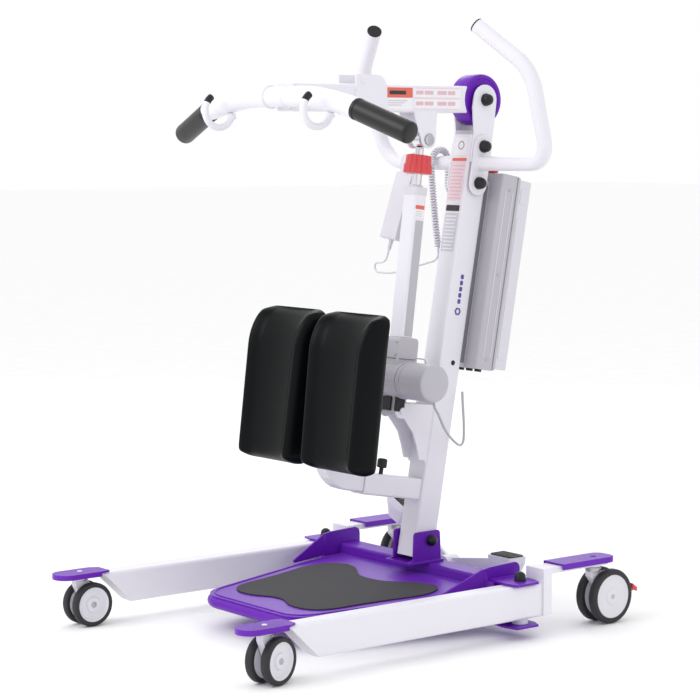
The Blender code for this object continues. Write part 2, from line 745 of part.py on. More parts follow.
# ---- actuator -----------------------------------------------------------------------------------
def make_actuator_bracket():
    """Two cheeks on a backing plate bolted to the mast's front, with the lower pin between them."""
    front = -MAST_DEPTH / 2 - GAP
    backing = box((-0.030, front - 0.004, 0.352), (0.030, front, 0.492))
    backing.data.transform(mast_frame.matrix_basis)
    parts = []
    for hand in SIDES.values():
        cheek = (
            arc((LOWER_PIN.y, LOWER_PIN.z), 0.018, 100, 290, 9)
            + [(0.158, 0.444), (0.172, 0.425), (0.182, 0.395), (0.190, 0.362), (0.215, 0.357)]
            + [(0.2385, 0.486)]
        )
        parts.append(prism(cheek, hand * 0.0250, hand * 0.0300, "X"))
    pin = cylinder(LOWER_PIN, 0.0080, -0.034, 0.034, "X", 18)
    bracket = join(backing, *parts, pin)
    mask = box((-0.05, -0.2, 0.30), (0.05, front, 0.60))
    mask.data.transform(mast_frame.matrix_basis)
    finish(keep(bracket, mask), "actuator_bracket", WHITE, mast_frame)


def make_actuator():
    """Gearbox, cross-mounted motor, tube, rod and quick-release collar, about the lower pin."""
    foot = join(
        cylinder((0.0, 0.0, 0.0), 0.016, -0.0240, 0.0240, "X", 20),
        prism(rounded_box_outline((-0.016, 0.0), (0.016, 0.06), 0.004), -0.0240, 0.0240, "X"),
        prism(rounded_box_outline((-0.030, 0.038), (0.030, 0.168), 0.010), -0.0300, 0.0300, "X"),
    )
    motor_y, motor_z = 0.0, 0.071
    saddle = cylinder((0.0, motor_y, motor_z), 0.0440, -0.0420, 0.0420, "X", 28)
    body = join(foot, saddle)
    tube_hole = cylinder((0.0, 0.0, 0.0), 0.0125, 0.060, 0.2, "Z", 20)
    pin_bore = cylinder((0.0, 0.0, 0.0), 0.0083, -0.05, 0.05, "X", 18)
    finish(cut(body, tube_hole, pin_bore), "gearbox", GREY_PLASTIC, actuator_frame, world=False)

    motor = turned(
        [
            (0.0423, 0.0400), (0.0460, 0.0430), (0.1330, 0.0430), (0.1360, 0.0400),
        ],
        (0.0, motor_y, motor_z), "X", 32,
    )
    gland_top = actuator_frame.matrix_basis.inverted() @ Vector((0.100, 0.176, 0.530))
    gland = cylinder(gland_top, 0.0055, -0.0210, 0.0, "Z", 12)
    motor = join(motor, gland)
    finish(motor, "motor", GREY_PLASTIC, actuator_frame, world=False)

    tube_low, tube_high = 0.1683, 0.5120
    tube = sweep(
        [(0.0, 0.0, tube_low), (0.0, 0.0, tube_high)],
        square(0.044, 0.008, 3, height=0.038),
        up=(0, 1, 0),
        hole=square(0.0260, 0.0125, 3),
    )
    finish(tube, "actuator_tube", WHITE, actuator_frame, world=False)

    end = ACTUATOR_LENGTH
    rod = turned(
        [
            (0.1000, 0.0100), (0.1000, 0.0115), (end - 0.052, 0.0115), (end - 0.052, 0.0100),
            (end - 0.020, 0.0100),
        ],
        (0.0, 0.0, 0.0), "Z", 20,
    )
    eye = cylinder((0.0, 0.0, end), 0.0175, -0.0120, 0.0120, "X", 24)
    neck = box((-0.0120, -0.0120, end - 0.034), (0.0120, 0.0120, end - 0.008))
    finish(join(rod, eye, neck), "actuator_rod", STEEL, actuator_frame, world=False)

    low = end - 0.078
    collar = turned_ring(
        [
            (low, 0.0330), (low + 0.020, 0.0320), (low + 0.026, 0.0285), (low + 0.042, 0.0290),
            (low + 0.043, 0.0180), (low + 0.0260, 0.0118), (low, 0.0118),
        ],
        (0.0, 0.0, 0.0), "Z", 24,
    )
    finish(collar, "release_collar", RED, actuator_frame, world=False)


# ---- knee support -------------------------------------------------------------------------------
def make_knee_arm():
    """The square tube that reaches forward from the mast."""
    front = -MAST_DEPTH / 2 - GAP
    arm = sweep(
        [(0.0, front, KNEE_ARM_U), (0.0, KNEE_ARM_FRONT_V, KNEE_ARM_U)],
        square(KNEE_ARM_SIZE, 0.005),
        hole=square(KNEE_BAR_SIZE + 0.001, 0.002),
    )
    finish(arm, "knee_arm", WHITE, mast_frame, world=False)


def meeting_point(first, first_way, second, second_way):
    """Where two lines in the lift's middle plane meet."""
    across = second - first
    turn = first_way.y * second_way.z - first_way.z * second_way.y
    share = (across.y * second_way.z - across.z * second_way.y) / turn
    return first + first_way * share


def make_knee_carriage():
    """The bar that telescopes in the knee arm and turns up into the pads' post."""
    rear = on_mast(-0.090, KNEE_ARM_U)
    forward = (on_mast(-1.0, KNEE_ARM_U) - on_mast(0.0, KNEE_ARM_U)).normalized()
    upright = knee_frame.matrix_basis.to_3x3() @ Vector((0.0, 0.0, 1.0))
    corner = meeting_point(rear, forward, knee_frame.matrix_basis.translation, upright)
    top = knee_frame.matrix_basis @ Vector((0.0, 0.0, 0.120))
    path = fillet_path([rear, corner, top], [0.060], 6)
    bar = sweep(path, square(KNEE_BAR_SIZE, 0.004, 2), up=(1, 0, 0))
    finish(bar, "knee_carriage", WHITE, knee_frame)


def make_knee_pads():
    """The sleeve on the post, its cross bar and the two shin pads, in the leaning post's frame."""
    sleeve = sweep(
        [(0.0, 0.0, -0.040), (0.0, 0.0, 0.040)],
        square(KNEE_BAR_SIZE + 0.009, 0.004, 2),
        up=(0, 1, 0),
        hole=square(KNEE_BAR_SIZE + 0.001, 0.0045, 2),
    )
    inner = KNEE_BAR_SIZE / 2 + 0.003
    pad_back = KNEE_PAD_BACK + GAP
    parts = []
    for hand in SIDES.values():
        low, high = sorted_corner(hand * inner, hand * 0.165, -0.014, 0.006, -0.020, 0.020)
        parts.append(box(low, high))
        low, high = sorted_corner(hand * 0.075, hand * 0.162, pad_back, -0.010, -0.070, 0.070)
        parts.append(box(low, high))
    finish(join(sleeve, *parts), "pad_bracket", WHITE, knee_frame, world=False)

    low_z, high_z = -KNEE_PAD_HEIGHT / 2, KNEE_PAD_HEIGHT / 2
    front = KNEE_PAD_BACK - KNEE_PAD_DEPTH
    for side, hand in SIDES.items():
        profile = (
            [(KNEE_PAD_BACK, low_z + 0.012), (KNEE_PAD_BACK, high_z), (KNEE_PAD_BACK - 0.020, high_z)]
            + arc((front + 0.036, high_z - 0.036), 0.036, 90, 180, 5)
            + [(front, low_z + 0.020)]
            + arc((front + 0.020, low_z + 0.020), 0.020, 200, 270, 3)
        )
        low_x = hand * KNEE_PAD_X - KNEE_PAD_WIDTH / 2
        high_x = low_x + KNEE_PAD_WIDTH
        pad = prism(profile, low_x, high_x, "X")
        mask = prism(rounded_box_outline((low_x, low_z), (high_x, high_z), 0.030, 4), -0.2, 0.1, "Y")
        finish(keep(pad, mask), "knee_pad_" + side, BLACK_PAD, knee_frame, world=False)


# ---- control box, battery and handset -----------------------------------------------------------


def make_electrics():
    """The rail on the mast's rear, the control box, the battery in it and the stop button."""
    rear = MAST_DEPTH / 2 + GAP
    rail = box((-0.025, rear, RAIL_U[0]), (0.025, 0.0490, RAIL_U[1] - 0.020))
    case = prism(
        rounded_box_outline((-0.070, 0.0480), (0.070, 0.1000), 0.006), RAIL_U[0], RAIL_U[1], "Z",
    )
    button_bore = cylinder((0.0, 0.072, 0.0), 0.0090, RAIL_U[1] - 0.020, RAIL_U[1] + 0.020, "Z", 16)
    gland = cylinder((0.0, CURLY_END.y, CURLY_END.z), 0.0090, CURLY_END.x + 0.0012, -0.0690, "X", 16)
    gland.data.transform(mast_frame.matrix_basis.inverted())
    finish(cut(join(case, rail, gland), button_bore), "control_box", GREY_PLASTIC, mast_frame, world=False)
    cover = prism(
        rounded_box_outline((-0.068, 0.1003), (0.068, 0.1455), 0.008),
        RAIL_U[0] + 0.006,
        RAIL_U[1] - 0.006,
        "Z",
    )
    finish(cover, "battery", PALE_PLASTIC, mast_frame, world=False)
    top = RAIL_U[1]
    button = turned(
        [
            (top - 0.0150, 0.0085), (top + 0.0060, 0.0085), (top + 0.0060, 0.0150), (top + 0.0170, 0.0165),
            (top + 0.0230, 0.0150), (top + 0.0260, 0.0080),
        ],
        (0.0, 0.072, 0.0), "Z", 24,
    )
    finish(button, "stop_button", RED, mast_frame, world=False)


def handset_placement():
    """Where the hand control hangs: tilted forward and a little sideways by its lead."""
    turn = Matrix.Rotation(HANDSET_ROLL, 4, "Y") @ Matrix.Rotation(HANDSET_TILT, 4, "X")
    return Matrix.Translation(HANDSET_TOP) @ turn


def make_handset():
    """The hand control, hung by its hook on the left handle's cross tube, with its strain relief."""
    body = prism(
        rounded_box_outline((-0.015, -HANDSET_LENGTH), (0.015, 0.0), 0.006), -0.029, 0.029, "X",
    )
    relief = turned(
        [(-HANDSET_LENGTH - RELIEF_LENGTH, 0.0036), (-HANDSET_LENGTH + 0.002, 0.0060)],
        (0.0, 0.0, 0.0), "Z", 12,
    )
    placed = handset_placement()
    body.data.transform(placed)
    relief.data.transform(placed)
    inner = HANDLE_TUBE / 2 + 0.0017
    outer = inner + 0.005
    front = HANDLE_TUBE_CENTRE[0]
    hook_outline = (
        arc(HANDLE_TUBE_CENTRE, outer, 10, 180, 9)
        + [(front - outer, 1.008), (front - inner, 1.008)]
        + arc(HANDLE_TUBE_CENTRE, inner, 180, 10, 9)
    )
    hook = prism(hook_outline, HANDSET_X - 0.012, HANDSET_X + 0.012, "X")
    finish(join(body, relief, hook), "handset", PALE_PLASTIC, mast_frame)


# ---- spreading pedal ----------------------------------------------------------------------------
def pedal_arm(tread_top):
    """One arm of the rocker, out to +X, with the tapered foot block at its end."""
    block_low, block_high = 0.090 - PEDAL_PIVOT_Z, tread_top - PEDAL_PIVOT_Z
    rings = []
    for level, half_x, half_y in (
        (block_low, 0.026, 0.016), (block_high - 0.016, 0.039, 0.026), (block_high, 0.040, 0.027),
    ):
        outline = rounded_box_outline((-half_x, -half_y), (half_x, half_y), 0.008, 2)
        rings.append([(PEDAL_ARM + a, b, level) for a, b in outline])
    block = skin(rings)
    arm = prism(
        [
            (0.0115, -0.019), (PEDAL_ARM - 0.020, block_low + 0.012),
            (PEDAL_ARM - 0.010, block_high - 0.008), (0.0115, 0.016),
        ],
        -0.004, 0.004, "Y",
    )
    return join(arm, block)


def make_spread_pedal():
    """The rocker: near arm level, far arm raised by its travel."""
    near = pedal_arm(0.145)
    far = pedal_arm(0.145)
    far.data.transform(Matrix.Rotation(math.pi, 4, "Z"))
    far.data.transform(Matrix.Rotation(PEDAL_TRAVEL, 4, "Y"))
    hub = cylinder((0.0, 0.0, 0.0), 0.022, -0.020, 0.020, "Y", 24)
    pedal = join(hub, near, far)
    bore = cylinder((0.0, 0.0, 0.0), 0.0083, -0.03, 0.03, "Y", 20)
    finish(cut(pedal, bore), "spread_pedal", WHITE, pedal_frame, world=False)


# ---- legs and casters ---------------------------------------------------------------------------
def make_leg(side, hand, leg_frame):
    """A leg tube with a slanted nose, bored for its hinge bolt."""
    middle_z = sum(LEG_Z) / 2
    height = LEG_Z[1] - LEG_Z[0]
    x = hand * LEG_X
    tube = sweep(
        [(x, LEG_REAR_Y, middle_z), (x, -0.470, middle_z)],
        square(LEG_WIDTH, 0.008, 3, height=height),
    )
    under_plate = REAR_PLATE_TOP - PLATE_SHEET - GAP
    block = box((x - 0.029, LEG_REAR_Y, 0.046), (x + 0.029, 0.2800, under_plate))
    arm = box((x - 0.024, 0.2700, 0.137), (x + 0.024, 0.4600, under_plate))
    stem_bore = cylinder((hand * CASTER_X, REAR_SWIVEL_Y, 0.0), 0.0065, 0.12, 0.17, "Z", 16)
    bush = cylinder((x, LEG_PIVOT_Y, 0.0), 0.0180, LEG_Z[0] - 0.0115, LEG_Z[0] + 0.001, "Z", 20)
    cavity = box(
        (x - LEG_WIDTH / 2 + 0.003, -0.350, LEG_Z[0] + 0.003),
        (x + LEG_WIDTH / 2 - 0.003, 0.250, LEG_Z[1] - 0.003),
    )
    nose_side = [(-0.4500, 0.1215), (-0.3665, 0.0415), (-0.60, 0.0415), (-0.60, 0.1215)]
    nose = prism(nose_side, x - 0.1, x + 0.1, "X")
    bore = cylinder((x, LEG_PIVOT_Y, 0.0), 0.0085, 0.0, 0.2, "Z", 20)
    leg = join(cut(tube, cavity), block, arm, bush)
    finish(cut(leg, nose, bore, stem_bore), "leg_" + side, WHITE, leg_frame)


def make_leg_plates(side, hand, leg_frame):
    """The plates at the leg's two ends that carry the casters."""
    x = hand * LEG_X
    swivel_x = hand * CASTER_X
    sheet = PLATE_SHEET
    top = LEG_Z[1] + GAP + sheet
    tip = arc((swivel_x, -0.528), 0.032, 180, 360, 10)
    plan = tip + [
        (swivel_x + 0.032, -0.4515),
        (x + 0.0235, -0.4300),
        (x - 0.0235, -0.4300),
        (swivel_x - 0.032, -0.4515),
    ]
    plate = prism(plan, top - 0.0120, top, "Z")
    inner_tip = arc((swivel_x, -0.528), 0.0285, 180, 360, 10)
    inner_plan = inner_tip + [(swivel_x + 0.0285, -0.440), (swivel_x - 0.0285, -0.440)]
    hollow = prism(inner_plan, top - 0.020, top - sheet, "Z")
    over_leg = box((x - 0.045, -0.4525, top - 0.020), (x + 0.045, -0.420, top - sheet))
    plate = cut(plate, hollow, over_leg)
    bore = cylinder((swivel_x, FRONT_SWIVEL_Y, 0.0), 0.0065, 0.09, 0.15, "Z", 16)
    finish(cut(plate, bore), "front_plate_" + side, PURPLE, leg_frame)

    rear_top = REAR_PLATE_TOP
    half = 0.0325
    corner = 0.022
    outline = (
        [(x - half, 0.3120), (x + half, 0.3120)]
        + arc((x + half - corner, 0.482 - corner), corner, 0, 90, 5)
        + arc((x - half + corner, 0.482 - corner), corner, 90, 180, 5)
    )
    inset = 0.0035
    inner = (
        [(x - half + inset, 0.30), (x + half - inset, 0.30)]
        + arc((x + half - corner, 0.482 - corner), corner - inset, 0, 90, 5)
        + arc((x - half + corner, 0.482 - corner), corner - inset, 90, 180, 5)
    )
    cover = prism(outline, rear_top - 0.0135, rear_top, "Z")
    cover = cut(cover, prism(inner, 0.10, rear_top - sheet, "Z"))
    bore = cylinder((swivel_x, REAR_SWIVEL_Y, 0.0), 0.0065, 0.12, 0.17, "Z", 16)
    finish(cut(cover, bore), "rear_plate_" + side, PURPLE, leg_frame)


def make_caster(label, swivel, top, radius, trail, turn, braked=False):
    """A twin-wheel caster: stem, white fork between the wheels, and the two wheels on one axle."""
    stem_frame = frame("swivel_frame_" + label, swivel, Matrix.Rotation(turn, 4, "Z"))
    axle_z = radius
    collar = cylinder((0.0, 0.0, 0.0), 0.0160, top - 0.0150, top - GAP, "Z", 16)
    stem = cylinder((0.0, 0.0, 0.0), 0.0060, top - 0.005, top + 0.0060, "Z", 12)
    web_half = CASTER_WEB / 2
    reach = math.hypot(trail, top - 0.012 - axle_z)
    boss = 0.017
    body_outline = (
        arc((trail, axle_z), boss, -190, 10, 8)
        + [(trail + 0.016, axle_z + 0.020), (0.0155, top - 0.012), (-0.0155, top - 0.012)]
        + [(-0.0155, top - 0.026), (trail - 0.017 - 0.25 * reach * 0.1, axle_z + 0.010)]
    )
    web = prism(body_outline, -web_half, web_half, "X")
    crown = turned(
        [(top - 0.0192, 0.0050), (top - 0.0130, 0.0155)], (0.0, 0.0, 0.0), "Z", 16,
    )
    fork = join(collar, stem, web, crown)
    cutters = [cylinder((0.0, trail, axle_z), 0.0055, -0.03, 0.03, "X", 12)]
    if braked:
        cutters.append(cylinder((0.0, *BRAKE_PIVOT), BRAKE_HUB + GAP, -0.03, 0.03, "X", 20))
    finish(cut(fork, *cutters), label.replace("caster", "fork"), WHITE, stem_frame, world=False)
    return stem_frame


def make_wheel(label, swivel, radius, trail, turn):
    """Two tyres on discs, joined by the axle that runs in the fork."""
    inner, outer = CASTER_GAP / 2, 0.0300
    spin_frame = frame(
        "axle_frame_" + label,
        Vector(swivel) + Matrix.Rotation(turn, 3, "Z") @ Vector((0.0, trail, radius)),
        Matrix.Rotation(turn, 4, "Z"),
    )
    edge = 0.006
    halves = [
        turned(
            [
                (hand * inner, radius - edge), (hand * (inner + edge), radius),
                (hand * (outer - edge), radius), (hand * outer, radius - edge),
            ],
            (0.0, 0.0, 0.0), "X", 24,
        )
        for hand in (1, -1)
    ]
    axle = cylinder((0.0, 0.0, 0.0), 0.0050, -outer + 0.002, outer - 0.002, "X", 12)
    finish(join(axle, *halves), label.replace("caster", "wheel"), TYRE, spin_frame, world=False)


def make_brake_pedal(side, hand):
    """The red foot lever that hangs between a rear caster's wheels, with its tread behind them."""
    place = (hand * CASTER_X, REAR_SWIVEL_Y + BRAKE_PIVOT[0], BRAKE_PIVOT[1])
    brake_frame = frame("brake_frame_" + side, place)
    lever_outline = (
        arc((0.0, 0.0), BRAKE_HUB, 60, 290, 8)
        + [(0.030, -0.016), (0.058, -0.036), (0.088, -0.050), (0.088, -0.041), (0.060, -0.022)]
        + [(0.034, 0.002)]
    )
    lever = prism(lever_outline, -0.0042, 0.0042, "X")
    tread = prism([(0.073, -0.041), (0.088, -0.048), (0.088, -0.039), (0.073, -0.028)], -0.018, 0.018, "X")
    finish(join(lever, tread), "brake_pedal_" + side, RED, brake_frame, world=False)


# ---- cables -------------------------------------------------------------------------------------
def make_cables():
    """The motor's lead, the hand control's lead and its curly part."""
    motor_lead = [
        (0.1000, 0.1735, 0.5070), (0.1000, 0.1750, 0.4930), (0.0980, 0.1900, 0.4720),
        (0.0920, 0.2120, 0.4400), (0.0820, 0.2400, 0.4150), (0.0700, 0.2700, 0.3970),
        (0.0600, 0.2900, 0.3910), (0.0540, 0.3030, 0.3980), (0.0510, 0.3080, 0.4150),
        (0.0490, 0.3090, 0.4450), (0.0470, 0.3080, 0.4800), (0.0450, 0.3075, 0.5137),
    ]
    finish(cord(motor_lead, CORD_DIAMETER), "motor_cable", BLACK_PLASTIC)

    relief_tip = handset_placement() @ Vector((0.0, 0.0, -HANDSET_LENGTH - RELIEF_LENGTH - GAP))
    relief_way = handset_placement() @ Vector((0.0, 0.0, -HANDSET_LENGTH - RELIEF_LENGTH - 0.009))
    handset_lead = [
        relief_tip, relief_way, (-0.2255, 0.2980, 0.8110), (-0.2400, 0.2970, 0.8035),
        (-0.2570, 0.2980, 0.8025), (-0.2651, 0.2985, 0.7991), (-0.2685, 0.2990, 0.7910),
        (-0.2651, 0.2995, 0.7829), (-0.2570, 0.3000, 0.7795), (-0.2350, 0.3020, 0.7785),
        (-0.2100, 0.3050, 0.7800), (-0.1850, 0.3090, 0.7840), (-0.1600, 0.3150, 0.7905),
        (-0.1350, 0.3220, 0.7990), (-0.1120, 0.3310, 0.8065), (-0.0950, 0.3370, 0.8115),
        (-0.0845, 0.3393, 0.8190), (-0.0805, 0.3395, 0.8260), (-0.0800, 0.3395, 0.8317),
    ]
    finish(cord(handset_lead, HANDSET_LEAD_DIAMETER, steps=2), "handset_lead", PALE_PLASTIC, mast_frame)

    curly_route = [
        (-0.0800, 0.3395, 0.8320), (-0.0802, 0.3385, 0.8500), (-0.0840, 0.3340, 0.9000),
        (-0.0880, 0.3305, 0.9600), (-0.0930, 0.3290, 1.0200), (-0.0950, 0.3320, 1.0500),
        (-0.0970, 0.3430, 1.0695), (-0.0990, 0.3615, 1.0755), (-0.1010, 0.3790, 1.0690),
        (-0.1040, 0.3900, 1.0500), (-0.1090, 0.3950, 1.0200), (-0.1150, 0.4000, 0.9900),
        (-0.1165, 0.4110, 0.9690), (-0.1110, 0.4205, 0.9520), CURLY_END + Vector((-0.0120, 0.0, 0.0)),
        CURLY_END,
    ]
    finish(cord(curly_route, CURLY_DIAMETER, 3, steps=2), "curly_cord", PALE_PLASTIC, mast_frame)


make_cross_beam()
make_footplate()
make_footplate_mat()
make_mast_socket()
make_mast_bolt()
make_mast()
make_head_bolts()
make_boom_assembly()
make_actuator_bracket()
make_actuator()
make_knee_arm()
make_knee_carriage()
make_knee_pads()
make_electrics()
make_handset()
make_spread_pedal()
make_cables()
for side_name, side_hand in SIDES.items():
    make_side_bracket(side_name, side_hand)
    make_leg_pivot(side_name, side_hand)
    make_head_plate(side_name, side_hand)
    make_push_handle(side_name, side_hand)
    hinge_frame = frame("leg_frame_" + side_name, (side_hand * LEG_X, LEG_PIVOT_Y, 0.08))
    make_leg(side_name, side_hand, hinge_frame)
    make_leg_plates(side_name, side_hand, hinge_frame)
    front_swivel = (side_hand * CASTER_X, FRONT_SWIVEL_Y, 0.0)
    rear_swivel = (side_hand * CASTER_X, REAR_SWIVEL_Y, 0.0)
    front_turn = FRONT_SWIVEL[side_name]
    fork_top = LEG_Z[1] + GAP
    make_caster("front_caster_" + side_name, front_swivel, fork_top, FRONT_RADIUS, FRONT_TRAIL, front_turn)
    make_wheel("front_caster_" + side_name, front_swivel, FRONT_RADIUS, FRONT_TRAIL, front_turn)
    make_caster("rear_caster_" + side_name, rear_swivel, 0.137, REAR_RADIUS, REAR_TRAIL, 0.0, braked=True)
    make_wheel("rear_caster_" + side_name, rear_swivel, REAR_RADIUS, REAR_TRAIL, 0.0)
    make_brake_pedal(side_name, side_hand)
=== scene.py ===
"""The finished look of the sit to stand lift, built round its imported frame."""
import math

import bmesh
import bpy
from mathutils import Matrix, Vector


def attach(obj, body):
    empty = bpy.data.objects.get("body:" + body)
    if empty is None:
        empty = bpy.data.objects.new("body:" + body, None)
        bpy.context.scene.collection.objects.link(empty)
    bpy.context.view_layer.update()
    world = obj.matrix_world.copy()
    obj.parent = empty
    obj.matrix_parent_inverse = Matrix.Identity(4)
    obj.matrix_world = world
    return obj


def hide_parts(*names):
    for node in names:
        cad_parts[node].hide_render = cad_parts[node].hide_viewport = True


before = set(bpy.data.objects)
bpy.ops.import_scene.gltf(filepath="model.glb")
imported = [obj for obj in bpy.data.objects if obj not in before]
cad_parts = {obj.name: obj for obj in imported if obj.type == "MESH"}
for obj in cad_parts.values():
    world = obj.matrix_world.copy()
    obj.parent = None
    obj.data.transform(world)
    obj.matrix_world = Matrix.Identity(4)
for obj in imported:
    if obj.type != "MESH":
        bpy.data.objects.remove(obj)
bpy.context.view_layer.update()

# ---- driving dimensions, in metres in the frame's own coordinates --------------------------------
LEAN = math.radians(10.2)                       # the mast leans towards the rear
MAST = Matrix.Translation((0.0, 0.1785, 0.0)) @ Matrix.Rotation(-LEAN, 4, "X")
BOOM_Z = 1.192
BOOM_PIVOT = Vector((0.0, 0.384, BOOM_Z))
LOWER_PIN = Vector((0.0, 0.137, 0.48))
UPPER_PIN = Vector((0.0, 0.216, 1.099))
TILT = math.atan2(UPPER_PIN.y - LOWER_PIN.y, UPPER_PIN.z - LOWER_PIN.z)
ACTUATOR = Matrix.Translation(LOWER_PIN) @ Matrix.Rotation(-TILT, 4, "X")
KNEE = Matrix.Translation((0.0, -0.042, 0.54)) @ Matrix.Rotation(-math.radians(7.0), 4, "X")
TRAY_SLOPE = 0.0414
TRAY_REAR_Y = 0.2025
TRAY_LEVEL = 0.0893 + TRAY_SLOPE * TRAY_REAR_Y  # height of the tray's top at its rear edge
TRAY = Matrix.Translation((0.0, TRAY_REAR_Y, TRAY_LEVEL)) @ Matrix.Rotation(math.atan(TRAY_SLOPE), 4, "X")
HANDSET = Matrix.Translation((-0.2, 0.349, 1.018))
HANDSET = HANDSET @ Matrix.Rotation(math.radians(5.0), 4, "Y") @ Matrix.Rotation(math.radians(-15.0), 4, "X")
WORLD = Matrix.Identity(4)
SPREADER_Y = -0.188
LEG_X = 0.351
LEG_PIVOT_Y = 0.211
CASTER_X = 0.354
PAD_X = 0.1185
PAD_BACK = -0.0252                              # from the knee post's axis
PAD_DEPTH = 0.072
PAD_HOLLOW = 0.014                              # how far the shin channel lies under the rims
PAD_DISH = 0.006                                # and its middle under the channel's sides
PAD_HALF_WIDTH = 0.1
PAD_HALF_HEIGHT = 0.176
PAD_ROLL = 0.095
PAD_FLARE = 0.12
PAD_EDGE = 0.017
PAD_THIN = 0.02
SIDES = {"right": 1.0, "left": -1.0}


# ---- camera, floor and light ---------------------------------------------------------------------
def make_camera():
    """The camera, low and far off beyond the lift's front right corner."""
    lens = bpy.data.cameras.new("camera")
    lens.lens = 112.8
    lens.sensor_width = 36.0
    camera = bpy.data.objects.new("camera", lens)
    camera.location = (3.8661, -3.063, 1.0935)
    camera.rotation_euler = (math.radians(90.0 - 5.4116), 0.0, math.radians(51.5341))
    bpy.context.scene.collection.objects.link(camera)
    bpy.context.scene.camera = camera


def make_light(name, place, aim, size, power):
    """A soft square lamp that faces a point."""
    lamp = bpy.data.lights.new(name, "AREA")
    lamp.size = size
    lamp.energy = power
    holder = bpy.data.objects.new(name, lamp)
    holder.location = place
    holder.rotation_euler = (Vector(aim) - Vector(place)).to_track_quat("-Z", "Y").to_euler()
    bpy.context.scene.collection.objects.link(holder)


def make_studio():
    """A plain pale floor, a pale world and three soft lamps."""
    builder = bmesh.new()
    bmesh.ops.create_grid(builder, x_segments=1, y_segments=1, size=40.0)
    mesh = bpy.data.meshes.new("floor")
    builder.to_mesh(mesh)
    builder.free()
    floor = bpy.data.objects.new("floor", mesh)
    floor.location = (0.0, 0.0, -0.0005)
    bpy.context.scene.collection.objects.link(floor)
    paper = finish_of("floor_paper", (0.985, 0.985, 0.99), 0.85, grain=300.0, bump=0.02, shine=0.1)
    mesh.materials.append(paper)
    world = bpy.data.worlds.new("studio")
    world.use_nodes = True
    world.node_tree.nodes["Background"].inputs["Color"].default_value = (1.0, 1.0, 1.0, 1.0)
    world.node_tree.nodes["Background"].inputs["Strength"].default_value = 1.0
    bpy.context.scene.world = world
    make_light("key_light", (-0.6, -3.2, 3.0), (0.0, 0.0, 0.6), 2.0, 55.0)
    make_light("fill_light", (3.4, 0.8, 2.2), (0.0, 0.0, 0.5), 2.5, 6.0)
    make_light("back_light", (-2.6, 2.6, 2.6), (0.0, 0.0, 0.6), 2.0, 22.0)
    bpy.context.scene.view_settings.view_transform = "Standard"


# ---- materials -----------------------------------------------------------------------------------
def finish_of(name, colour, rough, metal=0.0, grain=900.0, bump=0.08, mottle=0.05, edge_highlight=0.0,
              cells=False, stretch=(1.0, 1.0, 1.0), shine=0.5):
    """A surface with a fine grain, a slow colour drift, uneven gloss and, if asked, paler edges as a painted
    highlight.
    """
    made = bpy.data.materials.new(name)
    made.use_nodes = True
    tree = made.node_tree
    shader = tree.nodes["Principled BSDF"]
    shader.inputs["Metallic"].default_value = metal
    shader.inputs["Specular IOR Level"].default_value = shine
    place = tree.nodes.new("ShaderNodeTexCoord")
    scale = tree.nodes.new("ShaderNodeMapping")
    scale.inputs["Scale"].default_value = stretch
    tree.links.new(place.outputs["Object"], scale.inputs["Vector"])

    drift = tree.nodes.new("ShaderNodeTexNoise")
    drift.inputs["Scale"].default_value = 9.0
    drift.inputs["Detail"].default_value = 5.0
    tree.links.new(scale.outputs["Vector"], drift.inputs["Vector"])
    tint = tree.nodes.new("ShaderNodeMix")
    tint.data_type = "RGBA"
    tint.inputs["A"].default_value = (*[c * (1.0 - mottle) for c in colour], 1.0)
    tint.inputs["B"].default_value = (*[min(1.0, c * (1.0 + mottle)) for c in colour], 1.0)
    tree.links.new(drift.outputs["Fac"], tint.inputs["Factor"])
    shade = tint.outputs["Result"]
    # Paler colour on sharp convex edges, found by pointiness: a painted highlight along the edges.
    if edge_highlight:
        corner = tree.nodes.new("ShaderNodeNewGeometry")
        ramp = tree.nodes.new("ShaderNodeMapRange")
        ramp.inputs["From Min"].default_value = 0.52
        ramp.inputs["From Max"].default_value = 0.6
        ramp.inputs["To Max"].default_value = edge_highlight
        tree.links.new(corner.outputs["Pointiness"], ramp.inputs["Value"])
        edge = tree.nodes.new("ShaderNodeMix")
        edge.data_type = "RGBA"
        edge.inputs["B"].default_value = (*[min(1.0, c * 1.5 + 0.12) for c in colour], 1.0)
        tree.links.new(ramp.outputs["Result"], edge.inputs["Factor"])
        tree.links.new(shade, edge.inputs["A"])
        shade = edge.outputs["Result"]
    tree.links.new(shade, shader.inputs["Base Color"])

    gloss = tree.nodes.new("ShaderNodeMapRange")
    gloss.inputs["To Min"].default_value = max(0.03, rough - 0.06)
    gloss.inputs["To Max"].default_value = min(1.0, rough + 0.08)
    tree.links.new(drift.outputs["Fac"], gloss.inputs["Value"])
    tree.links.new(gloss.outputs["Result"], shader.inputs["Roughness"])

    if cells:
        fine = tree.nodes.new("ShaderNodeTexVoronoi")
        height = fine.outputs["Distance"]
    else:
        fine = tree.nodes.new("ShaderNodeTexNoise")
        fine.inputs["Detail"].default_value = 3.0
        height = fine.outputs["Fac"]
    fine.inputs["Scale"].default_value = grain
    tree.links.new(scale.outputs["Vector"], fine.inputs["Vector"])
    relief = tree.nodes.new("ShaderNodeBump")
    relief.inputs["Strength"].default_value = bump
    relief.inputs["Distance"].default_value = 0.001
    tree.links.new(height, relief.inputs["Height"])
    tree.links.new(relief.outputs["Normal"], shader.inputs["Normal"])
    return made


